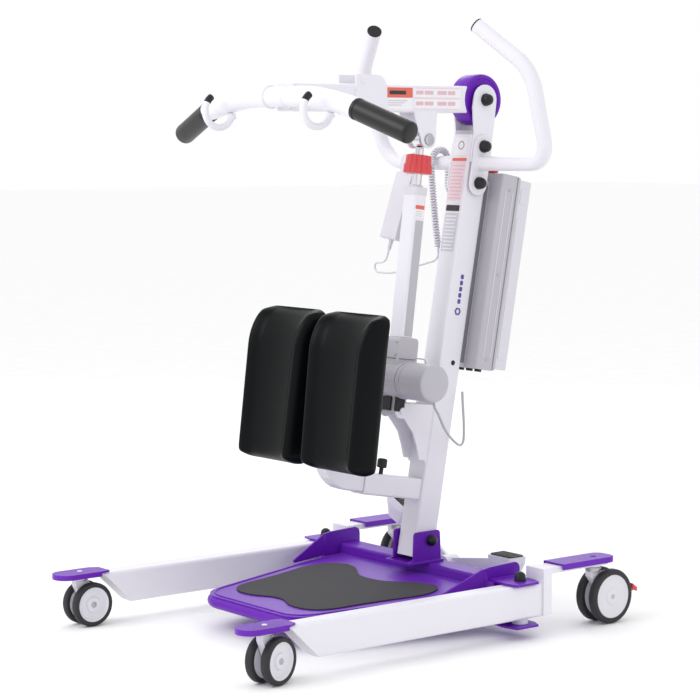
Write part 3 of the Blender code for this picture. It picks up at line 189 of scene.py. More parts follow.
LOOKS = {
    "white_coat": finish_of("white_powder_coat", (0.77, 0.755, 0.815), 0.34, grain=1100.0, bump=0.1,
                            mottle=0.012,
                            shine=0.4),
    # The purple coat carries a painted highlight: a paler colour on its edges.
    "purple_coat": finish_of("purple_powder_coat", (0.125, 0.009, 0.39), 0.34, grain=1100.0, bump=0.12,
                             mottle=0.07, edge_highlight=0.2, shine=0.22),
    "pad_skin": finish_of("black_moulded_skin", (0.0016, 0.0022, 0.0027), 0.4, grain=520.0, bump=0.1,
                          mottle=0.25, cells=True, shine=0.11),
    "black_plastic": finish_of("black_plastic", (0.01, 0.01, 0.012), 0.36, grain=1500.0, bump=0.1,
                               mottle=0.15,
                               shine=0.35),
    "grip_rubber": finish_of("grip_rubber", (0.0085, 0.0085, 0.01), 0.38, grain=700.0, bump=0.16, mottle=0.18,
                             cells=True, shine=0.4),
    "mat_rubber": finish_of("mat_rubber", (0.05, 0.048, 0.054), 0.75, grain=420.0, bump=0.55, mottle=0.1,
                            cells=True, shine=0.25),
    "grey_plastic": finish_of("light_grey_plastic", (0.47, 0.455, 0.5), 0.42, grain=1400.0, bump=0.1,
                              mottle=0.03),
    "pale_plastic": finish_of("pale_plastic", (0.66, 0.645, 0.7), 0.38, grain=1400.0, bump=0.08, mottle=0.02),
    "dark_grey_plastic": finish_of("dark_grey_plastic", (0.17, 0.17, 0.19), 0.45, grain=1400.0, bump=0.1,
                                   mottle=0.05),
    "red_plastic": finish_of("red_plastic", (0.64, 0.055, 0.062), 0.34, grain=1200.0, bump=0.08, mottle=0.05),
    "bright_steel": finish_of("bright_steel", (0.72, 0.72, 0.75), 0.14, metal=1.0, grain=500.0, bump=0.03,
                              mottle=0.04, stretch=(1.0, 1.0, 12.0)),
    "zinc_steel": finish_of("zinc_steel", (0.46, 0.46, 0.48), 0.38, metal=1.0, grain=500.0, bump=0.06,
                            mottle=0.1),
    "tyre": finish_of("tyre_rubber", (0.026, 0.025, 0.028), 0.58, grain=900.0, bump=0.2, mottle=0.15,
                      shine=0.35),
    "wheel_disc": finish_of("wheel_disc", (0.7, 0.69, 0.74), 0.35, grain=1200.0, bump=0.06, mottle=0.02),
}
LABEL_INKS = {
    "label_red": ((0.72, 0.13, 0.09), 0.02),
    "label_pink": ((0.72, 0.46, 0.52), 0.04),
    "label_blush": ((0.78, 0.63, 0.69), 0.06),
    "label_grey": ((0.58, 0.57, 0.64), 0.05),
    "label_black": ((0.02, 0.02, 0.022), 0.04),
    "label_purple": ((0.1, 0.05, 0.3), 0.04),
    "label_white": ((0.83, 0.82, 0.85), 0.01),
}
for ink, (colour, mottle) in LABEL_INKS.items():
    LOOKS[ink] = finish_of(ink, colour, 0.34, grain=900.0, bump=0.03, mottle=mottle)


# ---- shapes --------------------------------------------------------------------------------------
def arc(centre, radius, start, end, steps):
    """Points on an arc from start to end degrees, both included."""
    angles = [math.radians(start + (end - start) * index / steps) for index in range(steps + 1)]
    return [(centre[0] + radius * math.cos(angle), centre[1] + radius * math.sin(angle)) for angle in angles]


def circle(diameter, steps=40):
    """A round outline for a sweep."""
    return arc((0.0, 0.0), diameter / 2.0, 0.0, 360.0 - 360.0 / steps, steps - 1)


def rounded(low, high, radius, steps=6):
    """A rectangle from low to high with round corners."""
    (left, bottom), (right, top) = low, high
    return (
        arc((right - radius, bottom + radius), radius, -90, 0, steps)
        + arc((right - radius, top - radius), radius, 0, 90, steps)
        + arc((left + radius, top - radius), radius, 90, 180, steps)
        + arc((left + radius, bottom + radius), radius, 180, 270, steps)
    )


def skin(rings, closed=False):
    """A bmesh through rings of equally many points, capped unless it closes on itself."""
    builder = bmesh.new()
    loops = [[builder.verts.new(point) for point in ring] for ring in rings]
    count = len(loops[0])
    spans = list(zip(loops, loops[1:]))
    if closed:
        spans.append((loops[-1], loops[0]))
    for first, second in spans:
        for index in range(count):
            following = (index + 1) % count
            builder.faces.new((first[index], first[following], second[following], second[index]))
    if not closed:
        builder.faces.new(loops[0])
        builder.faces.new(loops[-1])
    bmesh.ops.recalc_face_normals(builder, faces=builder.faces)
    return builder


def prism(outline, start, end, axis="X"):
    """Extrude an outline: (Y, Z) points along X, (X, Z) points along Y or (X, Y) points along Z."""
    place = {
        "X": lambda a, b, depth: (depth, a, b),
        "Y": lambda a, b, depth: (a, depth, b),
        "Z": lambda a, b, depth: (a, b, depth),
    }[axis]
    return skin([[place(a, b, depth) for a, b in outline] for depth in (start, end)])


def block(low, high, radius, axis="X"):
    """A box between two corners, rounded round one axis."""
    drop = "XYZ".index(axis)
    flat = [index for index in range(3) if index != drop]
    outline = rounded([low[index] for index in flat], [high[index] for index in flat], radius)
    return prism(outline, low[drop], high[drop], axis)


def turned(profile, centre=(0.0, 0.0, 0.0), axis="Z", segments=56, ring=False):
    """Turn a profile of (distance along the axis, radius) points; a ring profile stays off the axis."""
    along = {"X": Vector((1, 0, 0)), "Y": Vector((0, 1, 0)), "Z": Vector((0, 0, 1))}[axis]
    side = {"X": Vector((0, 1, 0)), "Y": Vector((0, 0, 1)), "Z": Vector((1, 0, 0))}[axis]
    other = along.cross(side)
    outward = []
    for index in range(segments):
        angle = 2.0 * math.pi * index / segments
        outward.append(side * math.cos(angle) + other * math.sin(angle))
    centre = Vector(centre)
    if ring:
        rings = [[centre + along * far + way * radius for far, radius in profile] for way in outward]
        return skin(rings, closed=True)
    return skin([[centre + along * far + way * radius for way in outward] for far, radius in profile])


def fillet_path(corners, radii, steps=14):
    """Round the inner corners of a polyline with arcs of the given radii."""
    corners = [Vector(corner) for corner in corners]
    path = [corners[0]]
    for before, corner, after, radius in zip(corners, corners[1:], corners[2:], radii):
        inward = (before - corner).normalized()
        outward = (after - corner).normalized()
        half = inward.angle(outward) / 2.0
        middle = corner + (inward + outward).normalized() * (radius / math.sin(half))
        start = corner + inward * (radius / math.tan(half)) - middle
        end = corner + outward * (radius / math.tan(half)) - middle
        swept = start.angle(end)
        for index in range(steps + 1):
            share = index / steps
            first = math.sin((1.0 - share) * swept) / math.sin(swept)
            second = math.sin(share * swept) / math.sin(swept)
            path.append(middle + start * first + end * second)
    path.append(corners[-1])
    return path


def smooth_path(points, steps=6):
    """A smooth curve through the points (Catmull-Rom)."""
    points = [Vector(point) for point in points]
    held = [points[0] * 2 - points[1]] + points + [points[-1] * 2 - points[-2]]
    path = []
    for p0, p1, p2, p3 in zip(held, held[1:], held[2:], held[3:]):
        for index in range(steps):
            t = index / steps
            path.append(
                0.5 * (2 * p1 + (p2 - p0) * t + (2 * p0 - 5 * p1 + 4 * p2 - p3) * t ** 2
                       + (3 * p1 - p0 - 3 * p2 + p3) * t ** 3)
            )
    path.append(points[-1])
    return path


def sweep(path, outline, up=(0, 0, 1)):
    """Sweep a (sideways, up) outline along a path."""
    path = [Vector(point) for point in path]
    rings = []
    for index, point in enumerate(path):
        before = path[max(index - 1, 0)]
        after = path[min(index + 1, len(path) - 1)]
        forward = (after - before).normalized()
        sideways = forward.cross(Vector(up)).normalized()
        upward = sideways.cross(forward)
        rings.append([point + sideways * a + upward * b for a, b in outline])
    return skin(rings)


def aimed(place, way):
    """The transform that sets a shape made along +Z at a place, looking a given way."""
    return Matrix.Translation(place) @ way.to_track_quat("Z", "Y").to_matrix().to_4x4()


def dome(centre, axis, start, radius, height, way=1.0):
    """A domed nut cover with a small flange, standing along an axis from start."""
    profile = [
        (0.0, radius * 0.3), (0.0, radius), (0.16, radius), (0.2, radius * 0.93), (0.55, radius * 0.9),
        (0.72, radius * 0.8), (0.86, radius * 0.62), (0.96, radius * 0.36), (1.0, radius * 0.08),
    ]
    return turned([(way * (start + far * height), size) for far, size in profile], centre, axis, 40)


# ---- pieces --------------------------------------------------------------------------------------
def piece(name, parts, look, body, place=WORLD, bevel=0.0, replaces=(), smooth=38.0):
    """Join closed shells into one named piece, place it, finish it and let it ride on its body."""
    mesh = bpy.data.meshes.new(name)
    whole = bmesh.new()
    for part in parts:
        part.to_mesh(mesh)
        part.free()
        whole.from_mesh(mesh)
    whole.to_mesh(mesh)
    whole.free()
    mesh.transform(place)
    mesh.materials.append(LOOKS[look])
    made = bpy.data.objects.new(name, mesh)
    bpy.context.scene.collection.objects.link(made)
    mesh.shade_smooth()
    mesh.set_sharp_from_angle(angle=math.radians(smooth))
    if bevel:
        soften(made, bevel)
    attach(made, body)
    if replaces:
        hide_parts(*replaces)
    return made


def on_mast(name, parts, look, **finish):
    """A fixed piece given in the mast's own frame."""
    return piece(name, parts, look, "base", MAST, **finish)


def on_actuator(name, parts, look, **finish):
    """A piece of the actuator's body given in the actuator's own frame."""
    return piece(name, parts, look, "actuator_body", ACTUATOR, **finish)


def soften(shown, width):
    """Round a piece's sharp edges by a fixed width."""
    bevel = shown.modifiers.new("soft_edges", "BEVEL")
    bevel.width = width
    bevel.segments = 3
    bevel.limit_method = "ANGLE"
    bevel.angle_limit = math.radians(34.0)
    bevel.harden_normals = True


def dress_node(name, look, width):
    """Finish a CAD node that keeps its shape: its look, and softened edges."""
    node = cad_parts[name]
    for slot in node.material_slots:
        slot.material = LOOKS[look]
    if width:
        weld = node.modifiers.new("weld", "WELD")
        weld.merge_threshold = 0.00002
        flat = node.modifiers.new("flat_faces", "DECIMATE")
        flat.decimate_type = "DISSOLVE"
        flat.angle_limit = math.radians(1.0)
        soften(node, width)


def dress_frame():
    """The flat-sided CAD nodes: their look and the width of their softened edges."""
    widths = {
        "cross_beam": ("purple_coat", 0.0012), "mast_socket": ("purple_coat", 0.0012),
        "footplate": ("purple_coat", 0.0), "footplate_mat": ("mat_rubber", 0.0008),
        "mast": ("white_coat", 0.0),
        "actuator_bracket": ("white_coat", 0.001), "knee_arm": ("white_coat", 0.001),
        "knee_carriage": ("white_coat", 0.001), "pad_bracket": ("white_coat", 0.0012),
        "boom": ("white_coat", 0.001), "spread_pedal": ("white_coat", 0.0014),
        "gearbox": ("grey_plastic", 0.0012), "control_box": ("grey_plastic", 0.0015),
        "battery": ("pale_plastic", 0.002), "handset": ("pale_plastic", 0.002),
        "actuator_tube": ("white_coat", 0.001),
    }
    for side in SIDES:
        widths["side_bracket_" + side] = ("purple_coat", 0.001)
        widths["front_plate_" + side] = ("purple_coat", 0.0012)
        widths["rear_plate_" + side] = ("purple_coat", 0.0012)
        widths["leg_" + side] = ("white_coat", 0.0012)
        widths["head_plate_" + side] = ("white_coat", 0.001)
        widths["front_fork_" + side] = ("white_coat", 0.001)
        widths["rear_fork_" + side] = ("white_coat", 0.001)
        widths["brake_pedal_" + side] = ("red_plastic", 0.001)
    for name, (look, width) in widths.items():
        dress_node(name, look, width)


# ---- cords ---------------------------------------------------------------------------------------
def cord_curve(name, path, diameter, look, body):
    """A round cord along a path of points."""
    line = bpy.data.curves.new(name, "CURVE")
    line.dimensions = "3D"
    line.bevel_depth = diameter / 2.0
    line.bevel_resolution = 4
    line.use_fill_caps = True
    spline = line.splines.new("POLY")
    spline.points.add(len(path) - 1)
    for point, place in zip(spline.points, path):
        point.co = (*place, 1.0)
    line.materials.append(LOOKS[look])
    made = bpy.data.objects.new(name, line)
    bpy.context.scene.collection.objects.link(made)
    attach(made, body)
    return made


def path_length(path):
    """The length of a path of points."""
    return sum((b - a).length for a, b in zip(path, path[1:]))


def even_path(points, step):
    """The same path with points at an even spacing."""
    fine = smooth_path(points, 24)
    total = path_length(fine)
    count = max(2, round(total / step))
    gap = total / count
    result = [fine[0]]
    walked = 0.0
    for a, b in zip(fine, fine[1:]):
        span = (b - a).length
        while span > 0.0 and walked + span >= gap * len(result) - 1e-9 and len(result) < count:
            result.append(a + (b - a) * ((gap * len(result) - walked) / span))
        walked += span
    result.append(fine[-1])
    return result


def helix_round(points, radius, pitch, per_turn, plain_start, plain_end):
    """A curly cord that winds round a path, running straight on it at both ends."""
    line = even_path(points, pitch / per_turn)
    ramp = 0.01                                   # the length over which the coil opens out
    total = path_length(line)
    result = []
    walked = 0.0
    angle = 0.0
    side = None
    for index, point in enumerate(line):
        if index:
            walked += (point - line[index - 1]).length
        after = line[min(index + 1, len(line) - 1)]
        before = line[max(index - 1, 0)]
        forward = (after - before).normalized()
        if side is None:
            side = forward.orthogonal().normalized()
        side = (side - forward * side.dot(forward)).normalized()
        other = forward.cross(side)
        left = total - plain_end - walked
        rise = min(1.0, max(0.0, (walked - plain_start) / ramp), max(0.0, left / ramp))
        angle += 2.0 * math.pi * rise / per_turn
        result.append(point + (side * math.cos(angle) + other * math.sin(angle)) * (radius * rise))
    return result


def make_cords():
    """The hand control's lead, plain and then curly, and the motor's lead."""
    wire = 0.0046
    coil = 0.017
    curly_points = [
        (-0.0843, 0.424, 0.945), (-0.0963, 0.424, 0.945), (-0.111, 0.4205, 0.952),
        (-0.1165, 0.411, 0.969), (-0.115, 0.4, 0.99), (-0.109, 0.395, 1.02),
        (-0.104, 0.39, 1.05), (-0.101, 0.379, 1.069), (-0.099, 0.3615, 1.0755),
        (-0.097, 0.343, 1.0695), (-0.095, 0.332, 1.05), (-0.093, 0.329, 1.02),
        (-0.088, 0.3305, 0.96), (-0.084, 0.334, 0.9), (-0.0802, 0.3385, 0.85),
        (-0.08, 0.3395, 0.832),
    ]
    curly = helix_round(curly_points, (coil - wire) / 2.0, pitch=0.0066, per_turn=14,
                        plain_start=0.01, plain_end=0.006)
    lead_points = [
        (-0.08, 0.3395, 0.8317), (-0.0805, 0.3395, 0.826), (-0.0845, 0.3393, 0.819),
        (-0.095, 0.337, 0.8115), (-0.112, 0.331, 0.8065), (-0.135, 0.322, 0.799),
        (-0.16, 0.315, 0.7905), (-0.185, 0.309, 0.784), (-0.21, 0.305, 0.78),
        (-0.235, 0.302, 0.7785), (-0.257, 0.3, 0.7795), (-0.2651, 0.2995, 0.7829),
        (-0.2685, 0.299, 0.791), (-0.2651, 0.2985, 0.7991), (-0.257, 0.298, 0.8025),
        (-0.24, 0.297, 0.8035), (-0.2255, 0.298, 0.811),
        HANDSET @ Vector((0.0, 0.0, -0.2)), HANDSET @ Vector((0.0, 0.0, -0.1913)),
    ]
    lead = smooth_path(lead_points, 4)
    path = [curly[0]]
    for point in curly[1:] + lead[1:]:
        if (point - path[-1]).length > 0.0004:
            path.append(point)
    cord = cord_curve("hand_control_cord", path, wire, "pale_plastic", "base")
    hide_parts("curly_cord", "handset_lead")

    motor_points = [
        (0.1, 0.1735, 0.507), (0.1, 0.175, 0.493), (0.098, 0.19, 0.472),
        (0.092, 0.212, 0.44), (0.082, 0.24, 0.415), (0.07, 0.27, 0.397),
        (0.06, 0.29, 0.391), (0.054, 0.303, 0.398), (0.051, 0.308, 0.415),
        (0.049, 0.309, 0.445), (0.047, 0.308, 0.48), (0.045, 0.3075, 0.5137),
    ]
    motor_path = smooth_path(motor_points, 8)
    lead = cord_curve("motor_lead", motor_path, 0.006, "grey_plastic", "base")
    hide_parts("motor_cable")


# ---- base ----------------------------------------------------------------------------------------
def tray_outline(half_width_drop, rear_y, front_y, front_half):
    """The tray's outline in its own frame, from the right rear corner round the front."""
    stations = [(0.285, rear_y), (0.285, 0.165), (0.267, 0.053)]
    right = [(x - half_width_drop, y - TRAY_REAR_Y) for x, y in stations]
    right.append((front_half, front_y - TRAY_REAR_Y))
    return [(x, y, 0.0) for x, y in right] + [(-x, y, 0.0) for x, y in reversed(right)]


def make_tray():
    """The tray's tube rim and the bead where its sheet folds over."""
    side_half, nose_half = 0.267, 0.195            # half widths where the taper starts and at the nose
    taper = (side_half - nose_half) * (0.053 + 0.235) / (0.053 + 0.19)
    front_half = (side_half - taper) - 0.0125 + 0.004
    level = -0.003 - 0.0003 - 0.0125               # under the sheet and a gap, half a tube down
    rim_path = fillet_path(tray_outline(0.0125, TRAY_REAR_Y, -0.2775, front_half),
                           [0.1, 0.25, 0.075, 0.075, 0.25, 0.1])
    rim_path = [point + Vector((0.0, 0.0, level)) for point in rim_path]
    rim = sweep(rim_path, circle(0.025, 32))
    piece("tray_rim", [rim], "purple_coat", "base", TRAY, replaces=("footplate_rim",))
    lip_path = fillet_path(tray_outline(0.009, 0.202, -0.281, front_half + 0.0035),
                           [0.1, 0.25, 0.072, 0.072, 0.25, 0.1])
    groove_path = []
    for point in lip_path:
        forward = 0.0085 * (point.y < -0.4)
        groove_path.append(Vector((point.x * 0.955, point.y + forward, 0.0008)))
    piece("tray_bead", [sweep(groove_path, circle(0.0032, 12))], "purple_coat", "base", TRAY)


def make_mast_details():
    """The mast's grey top cap, its labels, a plain mark and black discs as painted shade in the round holes
    in its sides.
    """
    cap = [block((-0.0306, -0.0326, 1.124), (0.0306, 0.0326, 1.133), 0.006, "Z"),
           block((-0.0285, -0.0305, 1.1328), (0.0285, 0.0305, 1.1345), 0.006, "Z")]
    on_mast("mast_cap", cap, "grey_plastic", bevel=0.0006)
    front = -0.032
    labels = [
        ("mast_label_sign", "label_white", 1.075, 1.117, 0.021),
        ("mast_label_top", "label_red", 1.061, 1.068, 0.025),
        ("mast_label_sheet", "label_blush", 0.968, 1.0608, 0.025),
        ("mast_label_dark", "label_black", 0.943, 0.957, 0.023),
        ("mast_label_plate", "label_grey", 0.848, 0.938, 0.022),
    ]
    for name, look, low, high, half in labels:
        label = block((-half, front - 0.0006, low), (half, front + 0.0002, high), 0.002, "Y")
        on_mast(name, [label], look)
    ring = turned([(0.0002, 0.01), (-0.0009, 0.01), (-0.0009, 0.008), (0.0002, 0.008)],
                  (0.0, front, 1.098), "Y", 40, True)
    on_mast("mast_label_ring", [ring], "dark_grey_plastic")
    sheets = (("label_pink", 0.972, 0.0085, 10, 0.021), ("label_white", 0.853, 0.0085, 10, 0.018))
    for look, low, step, count, half in sheets:
        lines = []
        for index in range(count):
            level = low + index * step
            short = half * (0.25 if index % 3 == 1 else 0.0)
            lines.append(block((-half, front - 0.0009, level), (half - short, front - 0.0004, level + 0.0026),
                               0.0008, "Y"))
        on_mast("mast_lines_" + look, lines, look)
    side = 0.03
    marks = []
    for index in range(5):
        low = 0.73 + index * 0.0145
        marks.append(block((side - 0.0002, -0.0045, low), (side + 0.0005, 0.0045, low + 0.011), 0.003, "X"))
    on_mast("mast_side_mark", marks, "label_purple")
    ring = turned([(0.0, 0.0095), (0.001, 0.0095), (0.001, 0.0055), (0.0, 0.0055)], (side, 0.0, 0.712), "X",
                  6, True)
    on_mast("mast_side_ring", [ring], "label_purple")
    for name, hand in SIDES.items():
        # Black discs flush with the sides: painted shade standing for the dark inside of the holes.
        hole = turned([(hand * (side - 0.001), 0.006), (hand * (side + 0.0004), 0.006)], (0.0, 0.008, 0.592),
                      "X", 36)
        on_mast("mast_side_hole_painted_shade_" + name, [hole], "black_plastic")


def make_bolts():
    """Every black domed nut cover with its shank, and a steel nut under each leg pivot."""
    across = [
        ("mast_bolt", Vector((0.0, 0.218, 0.172)), 0.0386, 0.0135, 0.016),
        ("boom_pivot_bolt", BOOM_PIVOT, 0.0356, 0.0145, 0.02),
        ("head_bolt_upper", MAST @ Vector((0.0, 0.0, 1.101)), 0.0419, 0.0145, 0.02),
        ("head_bolt_lower", MAST @ Vector((0.0, 0.0, 1.0145)), 0.0419, 0.0145, 0.02),
    ]
    for node, centre, start, radius, height in across:
        covers = [dome(centre, "X", start, radius, height, way) for way in (1.0, -1.0)]
        covers.append(turned([(-start, 0.006), (start, 0.006)], centre, "X", 32))
        piece(node + "_covers", covers, "black_plastic", "base", replaces=(node,))
    for side, hand in SIDES.items():
        centre = (hand * LEG_X, LEG_PIVOT_Y, 0.0)
        cover = dome(centre, "Z", 0.1268, 0.0135, 0.0205)
        shank = turned([(0.018, 0.0075), (0.127, 0.0075)], centre, "Z", 32)
        piece("leg_pivot_cover_" + side, [cover, shank], "black_plastic", "base",
              replaces=("leg_pivot_bolt_" + side,))
        nut = turned([(0.0205, 0.012), (0.0255, 0.012)], centre, "Z", 6)
        piece("leg_pivot_nut_" + side, [nut], "zinc_steel", "base", bevel=0.0006)


def make_handles():
    """The two push handles: a bent tube each, its plate, its weld bead and its black end plug."""
    for side, hand in SIDES.items():
        inner, face = 0.0356, 0.0416
        corners = [
            (hand * (face - 0.002), 0.364, 1.044), (hand * 0.282, 0.352, 1.046),
            (hand * 0.298, 0.283, 1.253), (hand * 0.178, 0.224, 1.355),
        ]
        path = fillet_path(corners, [0.062, 0.1], 20)
        way = (path[-1] - path[-2]).normalized()
        path[-1] = path[-1] - way * 0.004
        tube = sweep(path, circle(0.034), up=(0, 1, 0.2))
        plate = prism(rounded((-0.026, 0.986), (0.026, 1.128), 0.0255, 10), hand * inner, hand * face, "X")
        plate.transform(MAST)
        spacer = turned([(hand * 0.0303, 0.014), (hand * 0.0376, 0.014)], MAST @ Vector((0, 0, 1.0145)), "X")
        piece("handle_tube_" + side, [tube], "white_coat", "base", replaces=("push_handle_" + side,),
              smooth=50.0)
        piece("handle_plate_" + side, [plate, spacer], "white_coat", "base", bevel=0.0012)
        bead = turned([(0.0, 0.0165), (0.0, 0.02), (0.0012, 0.0202), (0.0036, 0.0176), (0.0046, 0.0165)],
                      (0.0, 0.0, 0.0), "X", 48, True)
        bead.transform(Matrix.Translation((hand * (face - 0.0003), 0.364, 1.044)) @ Matrix.Scale(hand, 4,
                                                                                                 (1, 0, 0)))
        bmesh.ops.recalc_face_normals(bead, faces=bead.faces)
        piece("handle_weld_" + side, [bead], "white_coat", "base")
        profile = [(-0.012, 0.015), (0.0, 0.015), (0.0, 0.0172), (0.0024, 0.0172), (0.0036, 0.016),
                   (0.004, 0.006)]
        plug = turned(profile)
        piece("handle_plug_" + side, [plug], "black_plastic", "base", aimed(path[-1], way))


# ---- boom ----------------------------------------------------------------------------------------
def make_boom_parts():
    """The pivot drum, the bent spreader bar with its grips, and the sling hooks."""
    hub, rim = 0.0245, 0.0595
    profile = [
        (-hub, 0.0065), (-hub, 0.023), (-hub + 0.0015, 0.0245), (-hub + 0.0015, 0.049), (-hub, 0.0505),
        (-hub, rim - 0.0035), (-hub + 0.001, rim - 0.001), (-hub + 0.0035, rim),
    ]
    profile += [(-far, size) for far, size in reversed(profile)]
    drum = turned(profile, BOOM_PIVOT, "X", 96, True)
    piece("pivot_drum", [drum], "purple_coat", "boom_arm", replaces=("boom_drum",), smooth=30.0)

    root = Vector((0.26, SPREADER_Y, 1.166))
    tip = Vector((0.413, -0.159, 1.111))
    along = (tip - root).normalized()
    arm = smooth_path([(0.0, SPREADER_Y, BOOM_Z), (0.06, SPREADER_Y, BOOM_Z), (0.12, SPREADER_Y, 1.19),
                       (0.19, SPREADER_Y, 1.18), root, root + along * 0.006], 8)
    path = [Vector((-point.x, point.y, point.z)) for point in reversed(arm)] + arm[1:]
    piece("spreader_tube", [sweep(path, circle(0.045, 48), up=(0, 1, 0))], "white_coat", "boom_arm",
          replaces=("spreader_bar",), smooth=50.0)
    for side, hand in SIDES.items():
        start = root + along * 0.0063
        length = (tip - start).length
        radius = 0.024
        rings = [(0.0, radius - 0.003), (0.001, radius - 0.0004), (0.003, radius), (0.0075, radius),
                 (0.009, radius - 0.0016), (0.011, radius - 0.0016), (0.0125, radius - 0.0004)]
        rings += [(length * share, radius - 0.0002) for share in (0.25, 0.5, 0.75)]
        rings += [(length - 0.008, radius), (length - 0.004, radius - 0.0008),
                  (length - 0.0014, radius - 0.003),
                  (length, radius - 0.007), (length, 0.004)]
        place = Vector((hand * start.x, start.y, start.z))
        way = Vector((hand * along.x, along.y, along.z))
        piece("hand_grip_" + side, [turned(rings)], "grip_rubber", "boom_arm", aimed(place, way),
              replaces=("grip_" + side,))

        hook_x = hand * 0.18
        bend = [Vector((hook_x, y, z)) for y, z in arc((-0.223, 1.163), 0.037, -8, -236, 52)]
        tip_start = 46
        piece("sling_hook_" + side, [sweep(bend[:tip_start + 1], circle(0.0155, 28), up=(1, 0, 0))],
              "white_coat",
              "boom_arm", replaces=("hook_" + side,), smooth=50.0)
        sleeve = sweep(bend[tip_start:], circle(0.016, 28), up=(1, 0, 0))
        end_way = (bend[-1] - bend[-2]).normalized()
        nose = turned([(-0.001, 0.007), (0.0, 0.008), (0.0016, 0.0072), (0.0024, 0.005), (0.0026, 0.001)],
                      segments=36)
        nose.transform(aimed(bend[-1], end_way))
        piece("hook_tip_" + side, [sleeve, nose], "black_plastic", "boom_arm", smooth=50.0)
        foot_way = (bend[3] - bend[4]).normalized()
        foot = turned([(-0.002, 0.0077), (0.0, 0.009), (0.003, 0.0104), (0.006, 0.011)], segments=36)
        piece("hook_weld_" + side, [foot], "white_coat", "boom_arm", aimed(bend[4], foot_way))


def make_boom_details():
    """The weld round the spreader, the bolts in the boom's cheeks and lugs, and its labels."""
    for side, hand in SIDES.items():
        bead = turned([(hand * 0.0285, 0.0215), (hand * 0.0305, 0.0262), (hand * 0.033, 0.025),
                       (hand * 0.0362, 0.0232), (hand * 0.0375, 0.0215)], (0.0, SPREADER_Y, BOOM_Z), "X", 56,
                       True)
        piece("spreader_weld_" + side, [bead], "white_coat", "boom_arm")
    cover = block((-0.03, -0.173, 1.161), (0.03, -0.1698, 1.223), 0.006, "Y")
    piece("boom_end_plate", [cover], "white_coat", "boom_arm", bevel=0.0008)
    for side, hand in SIDES.items():
        face = hand * 0.03
        stack = (
            ("boom_label_red", "label_red", 0.088, 0.166, 1.194, 1.2165),
            ("boom_label_sheet", "label_white", 0.088, 0.166, 1.168, 1.1935),
            ("boom_plate", "label_white", 0.17, 0.311, 1.168, 1.2175),
        )
        for name, look, y0, y1, z0, z1 in stack:
            corners = sorted((face - hand * 0.0002, face + hand * 0.0006))
            label = block((corners[0], y0, z0), (corners[1], y1, z1), 0.0015, "X")
            piece(f"{name}_{side}", [label], look, "boom_arm")
        corners = sorted((face + hand * 0.0003, face + hand * 0.0009))
        bars = []
        for middle in (1.206, 1.1815):
            for start, end in ((0.176, 0.198), (0.202, 0.228), (0.24, 0.268), (0.272, 0.294)):
                bars.append(block((corners[0], start, middle - 0.0042), (corners[1], end, middle + 0.0042),
                                  0.0015, "X"))
        for z in (1.169, 1.1925, 1.1945, 1.216):
            bars.append(block((corners[0], 0.1715, z - 0.0004), (corners[1], 0.3095, z + 0.0004), 0.0002,
                              "X"))
        piece("boom_plate_marks_" + side, bars, "label_pink", "boom_arm")
        lines = [block((corners[0], 0.093, z), (corners[1], 0.15 - 0.008 * index, z + 0.0022), 0.0008, "X")
                 for index, z in enumerate((1.186, 1.181, 1.176))]
        piece("boom_sheet_lines_" + side, lines, "label_grey", "boom_arm")
        dark = block((corners[0], 0.098, 1.201), (corners[1], 0.146, 1.2095), 0.0015, "X")
        piece("boom_red_bar_" + side, [dark], "label_black", "boom_arm")
        screws = []
        for y, z in ((0.018, 1.172), (0.018, 1.228), (0.07, 1.172)):
            screws.append(dome((hand * 0.0335, y, z), "X", 0.0, 0.0048, 0.0032, hand))
        piece("boom_screws_" + side, screws, "white_coat", "boom_arm")
        washer = turned([(hand * 0.0295, 0.0145), (hand * 0.0312, 0.0145), (hand * 0.0312, 0.0085)],
                        UPPER_PIN, "X", 48)
        bolt = dome(UPPER_PIN, "X", 0.036, 0.01, 0.0026, hand)
        piece("lug_bolt_" + side, [washer, bolt], "zinc_steel", "boom_arm")


